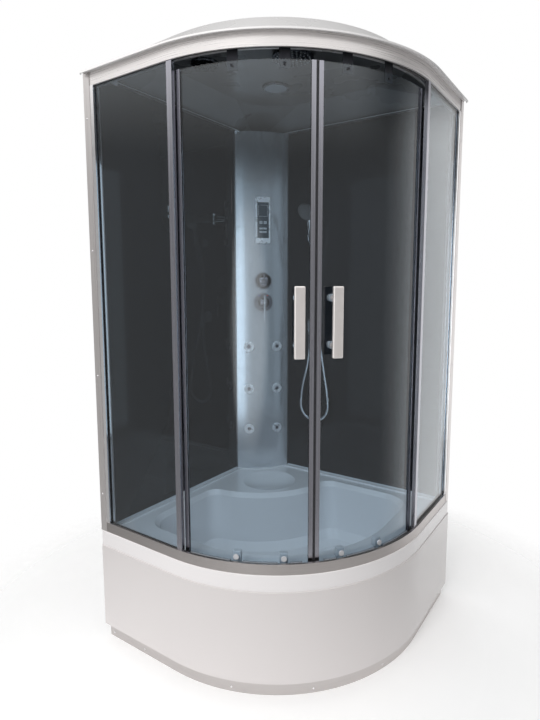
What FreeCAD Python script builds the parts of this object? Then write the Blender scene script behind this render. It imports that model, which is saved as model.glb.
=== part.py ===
import FreeCAD, Part
import math
import os

# Hydromassage shower cabin: a quarter-round tray with a high apron, two curved sliding doors,
# two dark rear walls and a curved service column in the rear corner.
# +Z is up. The rear walls lie at -X and +Y, and the entrance faces +X and -Y.

V = FreeCAD.Vector
root_half = math.sqrt(0.5)

# Driving dimensions
tray_size = 1000.0
tray_radius = 636.0
roof_overhang = 13.0
plinth_height = 50.0
apron_height = 314.0
lip_height = 54.0
bottom_rail_height = 35.5
rail_spacing = 1531.5
top_rail_height = 44.0
dome_rise = 86.0

overrun = 10.0
running_clearance = 0.05
face_clearance = 0.3

# Plan and heights that follow from them
half = (tray_size + roof_overhang) / 2
front = half - roof_overhang
arc_x = front - tray_radius
arc_y = -arc_x
z_apron = plinth_height
z_lip = z_apron + apron_height
z_rail = z_lip + lip_height
z_bay = z_rail + bottom_rail_height
z_top_rail = z_bay + rail_spacing
z_frame_top = z_top_rail + top_rail_height
z_dome = z_frame_top + dome_rise

# Tray
rim_corner = 12.0
lip_setback = 3.5
lip_round = 3.3
edge_steps = 4
tray_wall = 6.0
deck_drop = 6.0
pocket_front = 46.0
pocket_back = 28.0
pocket_corner = 20.0
pedestal_margin = 6.0
bowl_margin_back = 70.0
bowl_margin_front = 140.0
bowl_corner = 110.0
bowl_corner_share = 0.9
seat_corner = 60.0
seat_centre_reach = 90.0
seat_radius = 380.0
bowl_shell = 5.0
bowl_floor_height = 160.0
bowl_edge_width = 14.0
bowl_edge_depth = 20.0
bowl_wall_width = 26.0
bowl_toe_width = 30.0
bowl_toe_height = 45.0
bowl_floor_width = 35.0
bowl_floor_fall = 12.0
seat_dish_radius = 122.0
seat_dish_depth = 16.0
seat_dish_reach = 322.0
drain_offset = 30.0
drain_hole_radius = 26.0

# Apron and plinth strip
apron_thickness = 4.0
apron_return = 40.0
apron_foot_flange = 15.0
apron_top_flange = 14.0
apron_round = 3.5
strip_thickness = 3.0
strip_margin = 20.0
strip_height = 58.0

# Welded frame and feet under the tray
bar_width = 30.0
frame_reach_wall = 26.5
frame_front_gap = 23.5
bar_rear_place = 150.0
bar_front_place = -200.0
bar_front_end = 362.0
upright_width = 25.0
foot_inset = 35.0
foot_radius = 25.0
foot_thickness = 12.0
stud_radius = 6.0
nut_radius = 10.0
nut_height = 9.0

# Drain
waste_flange_radius = 35.0
waste_flange_height = 2.0
waste_radius = 25.5
waste_bore = 22.0
waste_ledge_bore = 19.0
waste_length = 30.0
grid_radius = 21.7
grid_thickness = 2.0
grid_ledge_depth = 3.0
grid_slot_width = 3.0
grid_slot_step = 6.0
trap_radius = 45.0
trap_height = 88.0
trap_floor_height = 62.0
trap_wall = 3.0
trap_neck_radius = 31.0
outlet_radius = 20.0
outlet_length = 45.0
outlet_collar_radius = 24.0
outlet_reach = 395.0

# Rails: offsets from the outline of the tray, negative inwards, and wall thicknesses
sheet_wall = 2.0
rail_web = 2.5
rail_outer = -7.0
rail_inner = -41.0
rail_lip = 8.0
rail_rib_offset = -23.0
rail_rib_height = 28.0
track_height = 20.0
top_rail_outer = -9.0
top_rail_inner = -49.0
top_lip = 6.0
top_rib_drop = 5.0
track_flange_height = 8.0
track_flange_width = 9.0

# Wall profiles, rear posts, glass channels, fixed glass and door posts
profile_depth = 30.0
profile_width = 42.0
profile_setback = 6.0
rear_post_width = 25.0
rear_post_reach = 161.5
glass_thickness = 5.0
glass_offset = -16.0
glass_edge_depth = 12.0
channel_width = 23.0
channel_length = 40.5
channel_setback = 6.5
fixed_glass_end = 30.5
fixed_glass_top_gap = 29.0
post_width = 22.0
post_depth = 12.5
post_front_margin = 4.0
panel_gap = 3.0
panel_thickness = 5.0

# Sliding doors, measured as radii about the axis of the front arc
door_glass_offset = -30.0
door_bottom = 442.0
door_height = 1518.0
door_meeting_gap = 0.25
door_angle = 45.0
door_strip_width = 17.5
tail_strip_width = 15.0
tail_angle = 86.0
strip_wall = 2.0
glass_hole_radius = 4.3
glass_bolt_radius = 4.0
handle_angle = 50.2
handle_height = 215.0
handle_base = 1105.0
handle_width = 33.0
handle_depth = 12.0
handle_gap = 34.0
handle_fillet = 4.0
handle_post_radius = 8.0
handle_post_inset = 35.0
handle_knob_radius = 12.0
handle_knob_depth = 18.6
carrier_inner_angle = 54.0
carrier_outer_angle = 68.5
carrier_width = 32.0
carrier_thickness = 3.0
carrier_drop = 70.0
carrier_rise = 10.0
carrier_bolt_drop = 57.0
carrier_gap = 0.5
cap_radius = 9.0
cap_depth = 3.7
wheel_radius = 10.0
wheel_width = 6.0
wheel_groove = 1.2
wheel_gap = 0.1
axle_radius = 3.0
axle_end = 0.5
guide_width = 26.0
guide_depth = 17.6
guide_height = 30.0
guide_rise = 4.0
fork_length = 18.0
fork_clearance = 0.6
fork_inner_wall = 4.4
fork_outer_wall = 3.0

# Service column: a shallow upright cylinder across the rear corner
column_radius = 330.0
column_wall = 4.0
column_reach = 168.0
column_cap = 4.0
wall_gap = 8.0
wedge_depth = 200.0

# Control panel on the column
bezel_width = 69.0
bezel_height = 213.0
bezel_rise = 137.0
bezel_depth = 8.0
bezel_fillet = 6.0
screen_width = 55.0
screen_height = 165.0
screen_depth = 2.0
screen_rise = 24.0
button_travel = 1.0
button_proud = 1.6
button_depth = 4.0
button_gap = 0.3
arrow_button_width = 14.0
arrow_button_height = 12.0
arrow_button_spread = 10.0
arrow_button_rise = 96.0
bar_button_width = 34.0
bar_button_height = 8.0
lamp_button_rise = 68.0
power_button_rise = 52.0

# Valve, knobs and lever on the column
mixer_height = 1241.0
escutcheon_radius = 45.0
diverter_ring_radius = 40.0
escutcheon_gap = 16.0
escutcheon_depth = 8.0
spindle_radius = 6.0
spindle_reach = 30.0
spindle_hole_radius = 14.0
knob_gap = 0.5
mixer_dome_radius = 29.0
mixer_dome_depth = 28.5
diverter_dome_radius = 36.0
diverter_dome_depth = 30.0
dome_skirt = 9.0
diverter_pointer_width = 8.0
diverter_pointer_rise = 3.0
ear_gap = 4.3
ear_wall = 4.0
ear_height = 10.0
lever_width = 8.0
lever_depth = 8.0
lever_up = 33.0
lever_down = 84.0
lever_stand = 42.5
lever_pivot = 46.5
lever_hub_radius = 5.0
lever_pin_radius = 2.0
valve_width = 76.0
valve_depth = 45.0
valve_setback = 14.0
valve_below = 30.0
valve_above = 30.0
inlet_spread = 25.0
inlet_radius = 10.5
inlet_length = 21.0
inlet_rise = 18.0
pipe_radius = 9.0
pipe_setback = 45.0
pipe_drop = 58.0
pipe_top_drop = 1.0
pipe_link_drop = 10.0
riser_radius = 8.0

# Swivelling body jets on the column
jet_angle = 12.07
jet_heights = [1026.0, 818.0, 618.0]
jet_ring_radius = 24.0
jet_ring_depth = 5.0
jet_socket_radius = 15.0
jet_socket_depth = 30.0
jet_ball_radius = 10.0
jet_ball_setback = 4.0
jet_cavity_clearance = 0.1
jet_lip = 1.5
jet_mouth_radius = 13.0
jet_tip_radius = 5.0
jet_tip_reach = 13.0
jet_bore_radius = 2.0
jet_feed_radius = 6.0

# Roof with its rain head, speaker and light
roof_wall = 4.0
roof_skirt = 7.0
roof_rim_height = 5.0
roof_corner = 14.0
shoulder_inset = 33.0
shoulder_back = 6.0
shoulder_rise = 9.0
dome_inset = 135.0
dome_corner = 200.0
roof_flange_width = 30.0
roof_flange_height = 3.0
rain_offset = 56.0
rain_radius = 72.0
rain_drop = 16.0
rain_thickness = 9.0
rain_stem_radius = 12.0
rain_nut_radius = 18.0
rain_nut_height = 6.0
rain_nipple_radius = 8.0
rain_nipple_height = 8.0
rain_nozzle_radius = 2.2
rain_nozzle_height = 2.0
rain_ring_step = 15.0
rain_ring_holes = 6
speaker_x = -245.0
speaker_y = -168.0
speaker_radius = 50.0
speaker_depth = 8.0
speaker_slot_width = 4.0
speaker_slot_step = 10.0
light_offset = 160.0
light_radius = 55.0
light_depth = 8.0
lens_radius = 44.0
lens_depth = 5.0

# Shelf on the left rear wall
shelf_length = 330.0
shelf_depth = 110.0
shelf_thickness = 6.0
shelf_height = 1606.0
shelf_middle = 24.5
shelf_corner = 18.0
bracket_spacing = 277.0
bracket_width = 14.0
bracket_height = 48.0
bracket_foot = 6.0
bracket_arm_depth = 60.0
bracket_jaw = 5.0
bracket_base_drop = 14.0

# Hand shower, its holder and its hose on the right rear wall
outlet_x = -165.0
outlet_height = 1150.0
outlet_rose_radius = 30.0
outlet_rose_depth = 8.0
elbow_radius = 11.0
elbow_reach = 43.5
elbow_drop = 32.0
holder_x = -150.0
holder_height = 1545.0
holder_rose_radius = 22.0
holder_rose_depth = 8.0
holder_arm_radius = 8.0
holder_pivot_reach = 36.5
holder_eye_radius = 9.0
holder_eye_width = 10.0
holder_pin_radius = 3.0
holder_fork_wall = 4.0
holder_fork_gap = 0.3
holder_tilt = 15.0
cup_radius = 17.0
cup_height = 30.0
cup_reach = 27.0
handle_bottom_drop = 108.0
handle_bottom_radius = 10.0
handle_grip_radius = 12.0
handle_neck_radius = 10.5
handle_tip_radius = 6.0
handle_taper = 24.0
handle_length = 205.0
handle_seat_radius = 12.0
spray_radius = 40.0
spray_depth = 24.0
spray_tilt = 75.0
spray_forward = 22.0
spray_rise = 21.0
spray_nozzle_radius = 1.6
spray_nozzle_height = 1.2
hose_diameter = 13.0
hose_points = [
    (-150.0, 463.9, 1433.6),
    (-150.0, 476.2, 1387.8),
    (-147.0, 482.0, 1300.0),
    (-139.0, 480.0, 1180.0),
    (-122.0, 472.0, 1060.0),
    (-100.0, 464.0, 950.0),
    (-78.0, 458.0, 850.0),
    (-66.0, 455.0, 778.7),
    (-66.0, 455.0, 731.3),
    (-93.9, 455.0, 692.9),
    (-139.0, 455.0, 678.2),
    (-184.1, 455.0, 692.9),
    (-212.0, 455.0, 731.3),
    (-212.0, 455.0, 778.7),
    (-202.0, 455.0, 853.0),
    (-176.0, 455.0, 945.0),
    (-165.0, 455.0, 1035.0),
    (-165.0, 455.0, 1118.0),
]
hose_arc_share = 0.45

# Radii about the front arc that several pieces share
door_glass_outer = tray_radius + door_glass_offset
door_glass_inner = door_glass_outer - glass_thickness
track_outer = tray_radius + rail_inner + sheet_wall
track_inner = tray_radius + rail_inner
z_track = z_top_rail + track_flange_height
z_wheel = z_track + sheet_wall + wheel_gap + wheel_radius
wheel_inner = tray_radius + top_rail_inner + sheet_wall + sheet_wall - face_clearance
column_axis_y = column_radius - column_reach
z_deck = z_rail - deck_drop
wall_face = half - wall_gap

# Heights of the diverter and the control panel, stacked up from the mixer
diverter_height = mixer_height + escutcheon_radius + escutcheon_gap + diverter_ring_radius
bezel_base = diverter_height + diverter_ring_radius + bezel_rise

parts = {}


def line(a, b):
    return Part.makeLine(a, b)


def arc(a, b, c):
    return Part.Arc(a, b, c).toShape()


def solid_of(edges, height):
    """Upright solid of the given height on a closed chain of edges."""
    return Part.Face(Part.Wire(edges)).extrude(V(0, 0, height))


def polygon_solid(points, direction):
    """Solid swept from a flat polygon along a vector."""
    return Part.Face(Part.makePolygon(points + points[:1])).extrude(direction)


def box(x0, x1, y0, y1, z0, z1):
    return Part.makeBox(x1 - x0, y1 - y0, z1 - z0, V(x0, y0, z0))


def fuse_all(shapes):
    """One solid made of shapes that meet or overlap."""
    return shapes[0].multiFuse(shapes[1:]).removeSplitter()


def outline_edges(out, inset, corner, z):
    """Plan outline of the cabin, moved out at the front and in at the rear walls."""
    left = -half + inset
    back = half - inset
    face = front + out
    bulge = (face - arc_x) * root_half
    nip = corner * (1 - root_half)
    p = [
        V(left, back - corner, z),
        V(left, corner - face, z),
        V(left + corner, -face, z),
        V(arc_x, -face, z),
        V(face, arc_y, z),
        V(face, back - corner, z),
        V(face - corner, back, z),
        V(left + corner, back, z),
    ]
    return [
        line(p[0], p[1]),
        arc(p[1], V(left + nip, nip - face, z), p[2]),
        line(p[2], p[3]),
        arc(p[3], V(arc_x + bulge, arc_y - bulge, z), p[4]),
        line(p[4], p[5]),
        arc(p[5], V(face - nip, back - nip, z), p[6]),
        line(p[6], p[7]),
        arc(p[7], V(left + nip, back - nip, z), p[0]),
    ]


def outline_wire(out, inset, corner, z):
    return Part.Wire(outline_edges(out, inset, corner, z))


def slab(out, inset, corner, z, height):
    return solid_of(outline_edges(out, inset, corner, z), height)


def outline_loft(sections):
    """Solid through outlines, each given as moved out, inset, corner and height."""
    return Part.makeLoft([outline_wire(*s) for s in sections], True, True)


def rounded_slab(out, corner, z, height, radius):
    """Slab of the cabin's plan whose top edge is rounded along the front."""
    sections = [(out, 0, corner, z)]
    for i in range(edge_steps + 1):
        turn = math.pi / 2 * i / edge_steps
        inwards = radius * (1 - math.cos(turn))
        below = radius * (1 - math.sin(turn))
        sections.append((out - inwards, 0, corner, z + height - below))
    return outline_loft(sections)


def front_band(outer, inner, margin, z, height):
    """Strip along the front of the cabin, between two offsets from the tray's outline."""
    end_x = margin - half
    end_y = half - margin
    a = front + outer
    b = front + inner
    bulge_a = (a - arc_x) * root_half
    bulge_b = (b - arc_x) * root_half
    return solid_of([
        line(V(end_x, -a, z), V(arc_x, -a, z)),
        arc(V(arc_x, -a, z), V(arc_x + bulge_a, arc_y - bulge_a, z), V(a, arc_y, z)),
        line(V(a, arc_y, z), V(a, end_y, z)),
        line(V(a, end_y, z), V(b, end_y, z)),
        line(V(b, end_y, z), V(b, arc_y, z)),
        arc(V(b, arc_y, z), V(arc_x + bulge_b, arc_y - bulge_b, z), V(arc_x, -b, z)),
        line(V(arc_x, -b, z), V(end_x, -b, z)),
        line(V(end_x, -b, z), V(end_x, -a, z)),
    ], height)


def mirror_diagonal(shape):
    """The same piece on the other side of the cabin's plane of symmetry."""
    return shape.mirror(V(0, 0, 0), V(1, 1, 0))


def polar(radius, degrees, z):
    """Point at a radius and an angle about the origin."""
    return V(radius * math.cos(math.radians(degrees)), radius * math.sin(math.radians(degrees)), z)


def sector(r_in, r_out, a0, a1, z, height):
    """Curved upright plate between two radii and two angles about the front arc's axis."""
    mid = (a0 + a1) / 2
    shape = solid_of([
        arc(polar(r_out, a0, z), polar(r_out, mid, z), polar(r_out, a1, z)),
        line(polar(r_out, a1, z), polar(r_in, a1, z)),
        arc(polar(r_in, a1, z), polar(r_in, mid, z), polar(r_in, a0, z)),
        line(polar(r_in, a0, z), polar(r_out, a0, z)),
    ], height)
    shape.translate(V(arc_x, arc_y, 0))
    return shape


def radial_place(shape, degrees):
    """Turn a piece modelled with +X outwards and set it on the front arc's axis."""
    placed = shape.copy()
    placed.rotate(V(0, 0, 0), V(0, 0, 1), degrees)
    placed.translate(V(arc_x, arc_y, 0))
    return placed


def column_place(shape):
    """Move a piece from the column's own frame, whose -Y looks into the cabin, to the rear corner."""
    placed = shape.copy()
    placed.rotate(V(0, 0, 0), V(0, 0, 1), 45)
    placed.translate(V(-half, half, 0))
    return placed


def column_face_place(shape, degrees, z):
    """Set a piece modelled with +X out of the column's face at an angle from the column's middle."""
    placed = shape.copy()
    placed.translate(V(column_radius, 0, 0))
    placed.rotate(V(0, 0, 0), V(0, 0, 1), degrees - 90)
    placed.translate(V(0, column_axis_y, z))
    return column_place(placed)


def rod(radius, x0, x1):
    """Round rod along X."""
    return Part.makeCylinder(radius, x1 - x0, V(x0, 0, 0), V(1, 0, 0))


def rod_at(radius, x0, x1, y, z):
    return Part.makeCylinder(radius, x1 - x0, V(x0, y, z), V(1, 0, 0))


def upright_rod(radius, x, y, z, height):
    return Part.makeCylinder(radius, height, V(x, y, z))


def dome_knob(radius, depth, skirt, start):
    """Knob turned about X: a short skirt and a domed front."""
    k = root_half
    nose = depth - skirt
    profile = [
        line(V(start, 0, 0), V(start, 0, radius)),
        line(V(start, 0, radius), V(start + skirt, 0, radius)),
        arc(V(start + skirt, 0, radius), V(start + skirt + nose * k, 0, radius * k), V(start + depth, 0, 0)),
        line(V(start + depth, 0, 0), V(start, 0, 0)),
    ]
    return Part.Face(Part.Wire(profile)).revolve(V(0, 0, 0), V(1, 0, 0), 360)


def bowl_wire(shrink, z):
    """Outline of the foot well at one level: straight sides, the front arc and the seat's arc."""
    left = -half + bowl_margin_back + shrink
    face = front - bowl_margin_front - shrink
    seat_x = -half + seat_centre_reach * root_half
    seat_r = seat_radius + shrink
    c = min(bowl_corner, (arc_x - left) * bowl_corner_share)
    f = seat_corner
    nip = c * (1 - root_half)
    bulge = (face - arc_x) * root_half
    fx = left + f
    fy = -seat_x - math.sqrt((seat_r + f) ** 2 - (fx - seat_x) ** 2)
    share = seat_r / (seat_r + f)
    tx = seat_x + (fx - seat_x) * share
    ty = -seat_x + (fy + seat_x) * share
    mx = (left + tx) / 2 - fx
    my = (fy + ty) / 2 - fy
    reach = f / math.hypot(mx, my)
    mid = V(fx + mx * reach, fy + my * reach, z)
    seat_mid = V(seat_x + seat_r * root_half, -seat_x - seat_r * root_half, z)
    p = [
        V(left, fy, z),
        V(left, c - face, z),
        V(left + c, -face, z),
        V(arc_x, -face, z),
        V(face, arc_y, z),
        V(face, -left - c, z),
        V(face - c, -left, z),
        V(-fy, -left, z),
        V(-ty, -tx, z),
        V(tx, ty, z),
    ]
    return Part.Wire([
        line(p[0], p[1]),
        arc(p[1], V(left + nip, nip - face, z), p[2]),
        line(p[2], p[3]),
        arc(p[3], V(arc_x + bulge, arc_y - bulge, z), p[4]),
        line(p[4], p[5]),
        arc(p[5], V(face - nip, -left - nip, z), p[6]),
        line(p[6], p[7]),
        arc(p[7], V(-mid.y, -mid.x, z), p[8]),
        arc(p[8], seat_mid, p[9]),
        arc(p[9], mid, p[0]),
    ])


def bowl_loft(grow, drop):
    """Solid of the foot well, grown outwards and lowered for the outside of its shell."""
    s = 0.0
    z = z_deck
    levels = [(s, z)]
    s += bowl_edge_width
    z -= bowl_edge_depth
    levels.append((s, z))
    s += bowl_wall_width
    z = bowl_floor_height + bowl_toe_height
    levels.append((s, z))
    s += bowl_toe_width
    z = bowl_floor_height + bowl_floor_fall
    levels.append((s, z))
    levels.append((s + bowl_floor_width, bowl_floor_height))
    wires = [bowl_wire(s - grow, z - drop) for s, z in levels]
    return Part.makeLoft(wires, True, True)


def make_tray():
    """Tray with its rim skirt, sunk deck, corner pedestal, dished seat and foot well."""
    rim = rounded_slab(-lip_setback, rim_corner, z_lip, lip_height, lip_round)
    inner_corner = rim_corner - tray_wall
    hollow = slab(-tray_wall - lip_setback, tray_wall, inner_corner, z_lip - overrun, lip_height - deck_drop
                  - tray_wall + overrun)
    pocket = slab(-pocket_front, pocket_back, pocket_corner, z_deck, deck_drop + overrun)
    pedestal = upright_rod(column_radius + pedestal_margin, 0, column_axis_y, z_deck - overrun,
                           deck_drop + overrun + overrun + overrun)
    pocket = pocket.cut(column_place(pedestal))
    body = rim.cut(hollow).cut(pocket)
    shell = bowl_loft(bowl_shell, bowl_shell)
    d = seat_dish_reach * root_half
    ball_radius = (seat_dish_radius ** 2 + seat_dish_depth ** 2) / (2 * seat_dish_depth)
    dish_centre = V(d - half, half - d, z_deck - seat_dish_depth + ball_radius)
    seat_ball = Part.makeSphere(ball_radius, dish_centre)
    seat_shell = Part.makeSphere(ball_radius + bowl_shell, dish_centre)
    under_seat = upright_rod(seat_dish_radius + bowl_shell, d - half, half - d,
                             z_deck - tray_wall - seat_dish_depth, seat_dish_depth + tray_wall)
    body = body.fuse(shell).fuse(seat_shell.common(under_seat))
    body = body.cut(bowl_loft(0, 0))
    body = body.cut(seat_ball)
    hole = upright_rod(drain_hole_radius, drain_offset, -drain_offset, bowl_floor_height - bowl_shell - overrun,
                       bowl_shell + overrun + overrun)
    return body.cut(hole).removeSplitter()


def make_apron():
    """Front apron with returns at both ends and a flange at its foot and top."""
    t = apron_thickness
    body = rounded_slab(0, rim_corner, z_apron, apron_height, apron_round)
    body = body.cut(slab(-t, t, rim_corner - t, z_apron + t, apron_height - t - t))
    body = body.cut(slab(-apron_foot_flange, apron_foot_flange, t, z_apron - overrun, overrun + t
                         + overrun))
    body = body.cut(slab(-apron_top_flange, apron_top_flange, t, z_lip - t - overrun, overrun + t
                         + overrun))
    side = box(-half - overrun, apron_return, apron_return - front, half + overrun, z_apron - overrun,
               z_lip + overrun)
    return body.cut(side).cut(mirror_diagonal(side))


def make_bars():
    """Welded square bars and uprights that carry the tray."""
    top = bowl_floor_height - bowl_shell
    base = top - bar_width
    w = bar_width / 2
    start = frame_reach_wall - half
    rear_end = front - frame_front_gap
    bars = []
    for place, end in ((bar_rear_place, rear_end), (bar_front_place, bar_front_end)):
        bar = box(start, end, place - w, place + w, base, top)
        u = upright_width / 2
        height = z_deck - tray_wall
        rear_upright = box(start, start + upright_width, place - u, place + u, top, height)
        front_upright = box(end - upright_width, end, place - u, place + u, top, height)
        side = [bar, rear_upright, front_upright]
        bars += side + [mirror_diagonal(s) for s in side]
    return fuse_all(bars)


def make_feet():
    """Screw feet under the ends of the bars."""
    top = bowl_floor_height - bowl_shell - bar_width
    places = []
    for place, end in ((bar_rear_place, front - frame_front_gap), (bar_front_place, bar_front_end)):
        places += [(frame_reach_wall - half + foot_inset, place), (end - foot_inset, place)]
    feet = []
    for x, y in places:
        pad = Part.makeCone(foot_radius, stud_radius * 2, foot_thickness, V(x, y, 0))
        stud = upright_rod(stud_radius, x, y, 0, top)
        corners = [V(x + polar(nut_radius, 60 * i, 0).x, y + polar(nut_radius, 60 * i, 0).y, top - nut_height)
                   for i in range(6)]
        nut = polygon_solid(corners, V(0, 0, nut_height))
        foot = fuse_all([pad, stud, nut])
        feet += [foot, mirror_diagonal(foot)]
    return Part.makeCompound(feet)


def make_waste():
    """Waste fitting clamped through the tray's floor, with a ledge for its grid."""
    x = drain_offset
    y = -drain_offset
    floor = bowl_floor_height
    flange = upright_rod(waste_flange_radius, x, y, floor, waste_flange_height)
    throat = upright_rod(waste_radius, x, y, floor - waste_length, waste_length)
    ledge = floor + waste_flange_height - grid_ledge_depth
    body = flange.fuse(throat)
    body = body.cut(upright_rod(waste_bore, x, y, ledge, grid_ledge_depth + overrun))
    return body.cut(upright_rod(waste_ledge_bore, x, y, floor - waste_length - overrun, waste_length + overrun
                                + overrun)).removeSplitter()


def make_grid():
    """Slotted grid that lies on the ledge of the waste fitting."""
    x = drain_offset
    y = -drain_offset
    base = bowl_floor_height + waste_flange_height - grid_ledge_depth
    grid = upright_rod(grid_radius, x, y, base, grid_thickness)
    for i in range(-2, 3):
        offset = i * grid_slot_step
        reach = math.sqrt(grid_radius ** 2 - offset ** 2) - grid_slot_width
        w = grid_slot_width / 2
        grid = grid.cut(box(x - reach, x + reach, y + offset - w, y + offset + w, base - overrun,
                            base + grid_thickness + overrun))
    return grid


def make_trap():
    """Waste trap under the tray, with its outlet pipe to the rear wall."""
    x = drain_offset
    y = -drain_offset
    base = trap_floor_height
    cup = upright_rod(trap_radius, x, y, base, trap_height - trap_wall * 5)
    neck = upright_rod(trap_neck_radius, x, y, base, trap_height)
    z_pipe = base + trap_wall + outlet_collar_radius + trap_wall
    end = y + trap_radius + outlet_reach
    pipe = Part.makeCylinder(outlet_radius, end - y, V(x, y, z_pipe), V(0, 1, 0))
    collar = Part.makeCylinder(outlet_collar_radius, end - outlet_length - y, V(x, y, z_pipe), V(0, 1, 0))
    body = fuse_all([cup, neck, pipe, collar])
    inside = upright_rod(trap_radius - trap_wall, x, y, base + trap_wall, trap_height - trap_wall * 7)
    mouth = upright_rod(waste_radius + running_clearance, x, y, base + trap_wall, trap_height + overrun)
    bore = Part.makeCylinder(outlet_radius - trap_wall, end - y + overrun, V(x, y, z_pipe), V(0, 1, 0))
    return body.cut(inside).cut(mouth).cut(bore)


def make_bottom_rail():
    """Bottom rail: web, outer wall with a lip, middle rib and the track rib that guides the doors."""
    m = profile_depth
    return fuse_all([
        front_band(rail_outer, rail_inner, m, z_rail, rail_web),
        front_band(rail_outer, rail_outer - sheet_wall, m, z_rail, bottom_rail_height),
        front_band(rail_outer, rail_outer - rail_lip, m, z_bay - sheet_wall, sheet_wall),
        front_band(rail_rib_offset, rail_rib_offset - sheet_wall, m, z_rail, rail_rib_height),
        front_band(rail_inner + sheet_wall, rail_inner, m, z_rail, track_height),
    ])


def make_top_rail():
    """Top rail: outer wall, top web, middle rib and the inner wall with the wheel track."""
    m = profile_depth
    web = z_frame_top - sheet_wall
    inner = top_rail_inner
    return fuse_all([
        front_band(top_rail_outer, top_rail_outer - sheet_wall, m, z_top_rail, top_rail_height),
        front_band(top_rail_outer, top_rail_outer - top_lip, m, z_top_rail, sheet_wall),
        front_band(top_rail_outer, inner, m, web, sheet_wall),
        front_band(rail_rib_offset, rail_rib_offset - sheet_wall, m, z_top_rail + top_rib_drop, top_rail_height
                   - top_rib_drop),
        front_band(inner + sheet_wall, inner, m, z_track, z_frame_top - z_track),
        front_band(inner + track_flange_width, inner, m, z_track, sheet_wall),
    ])


def make_wall_profile():
    """Channel that carries the end of the fixed glass, open towards the glass."""
    face = profile_setback - front
    body = box(-half, profile_depth - half, face, face + profile_width, z_rail, z_frame_top)
    return body.cut(box(sheet_wall - half, profile_depth - half + overrun, face + sheet_wall,
                        face + profile_width - sheet_wall, z_rail - overrun, z_frame_top + overrun))


def make_rear_post():
    """Square tube at the rear edge of a rear wall panel."""
    y = half - rear_post_reach
    w = rear_post_width
    body = box(-half, w - half, y, y + w, z_rail, z_frame_top)
    t = sheet_wall
    return body.cut(box(t - half, w - half - t, y + t, y + w - t, z_rail - overrun, z_frame_top + overrun))


def fixed_glass_front():
    return -front - glass_offset


def make_channel():
    """Slim channel that holds the edge of the fixed glass in the wall profile."""
    x = channel_setback - half
    y = profile_setback + sheet_wall - front
    body = box(x, x + channel_length, y, y + channel_width, z_bay, z_top_rail)
    g = fixed_glass_front()
    slot = box(x + channel_length - glass_edge_depth, x + channel_length + overrun, g - running_clearance,
               g + glass_thickness + running_clearance, z_bay - overrun, z_top_rail + overrun)
    return body.cut(slot)


def make_fixed_glass():
    """Flat fixed pane beside the door, standing in the bottom rail."""
    x = channel_setback - half + channel_length - glass_edge_depth
    g = fixed_glass_front()
    return box(x, arc_x + fixed_glass_end, g, g + glass_thickness, z_rail + rail_web, z_frame_top
               - fixed_glass_top_gap)


def make_post():
    """Upright at the free edge of the fixed pane, against which the door slides."""
    end = arc_x + fixed_glass_end
    x = end - glass_edge_depth + sheet_wall
    g = fixed_glass_front()
    y = g - post_front_margin
    body = box(x, x + post_width, y, y + post_depth, z_bay, z_top_rail)
    slot = box(x - overrun, end, g - running_clearance, g + glass_thickness + running_clearance, z_bay - overrun,
               z_top_rail + overrun)
    return body.cut(slot)


def make_back_panel():
    """Rear wall panel between the wall profile and the rear post."""
    start = profile_setback + profile_width - front
    return box(panel_gap - half, panel_gap + panel_thickness - half, start, half - rear_post_reach, z_rail,
               z_frame_top)


def degrees_of(width, radius):
    """Angle that an arc length takes up at a radius."""
    return math.degrees(width / radius)


def carrier_angles():
    return (carrier_inner_angle, carrier_outer_angle)


def glass_hole(degrees, z):
    hole = rod_at(glass_hole_radius, door_glass_inner - overrun, door_glass_outer + overrun, 0, z)
    return radial_place(hole, -degrees)


z_carrier_bolt = z_wheel - carrier_bolt_drop
z_guide = door_bottom + guide_rise + guide_height / 2
handle_posts = (handle_base + handle_post_inset, handle_base + handle_height - handle_post_inset)
meet_angle = door_angle + degrees_of(door_meeting_gap, door_glass_outer)


def make_door_glass():
    """Curved sliding pane with holes for its handle, wheels and guides."""
    a1 = meet_angle + degrees_of(sheet_wall, door_glass_outer)
    a0 = tail_angle - degrees_of(sheet_wall, door_glass_outer)
    pane = sector(door_glass_inner, door_glass_outer, -a0, -a1, door_bottom, door_height)
    for degrees in carrier_angles():
        pane = pane.cut(glass_hole(degrees, z_carrier_bolt))
        pane = pane.cut(glass_hole(degrees, z_guide))
    for z in handle_posts:
        pane = pane.cut(glass_hole(handle_angle, z))
    return pane


def make_door_strip(start, end, glass_start, glass_end):
    """Upright strip that grips one edge of a sliding pane."""
    body = sector(door_glass_inner - strip_wall, door_glass_outer + strip_wall, -end, -start, door_bottom,
                  door_height)
    slot = sector(door_glass_inner - running_clearance, door_glass_outer + running_clearance, -glass_end,
                  -glass_start, door_bottom - overrun, door_height + overrun + overrun)
    return body.cut(slot)


def make_door_strips():
    """Meeting strip and tail strip of one sliding pane."""
    r = door_glass_outer
    extra = degrees_of(overrun, r)
    wall = degrees_of(sheet_wall, r)
    meet_end = meet_angle + degrees_of(door_strip_width, r)
    tail_start = tail_angle - degrees_of(tail_strip_width, r)
    meeting = make_door_strip(meet_angle, meet_end, meet_angle + wall, meet_end + extra)
    tail = make_door_strip(tail_start, tail_angle, tail_start - extra, tail_angle - wall)
    return Part.makeCompound([meeting, tail])


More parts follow.
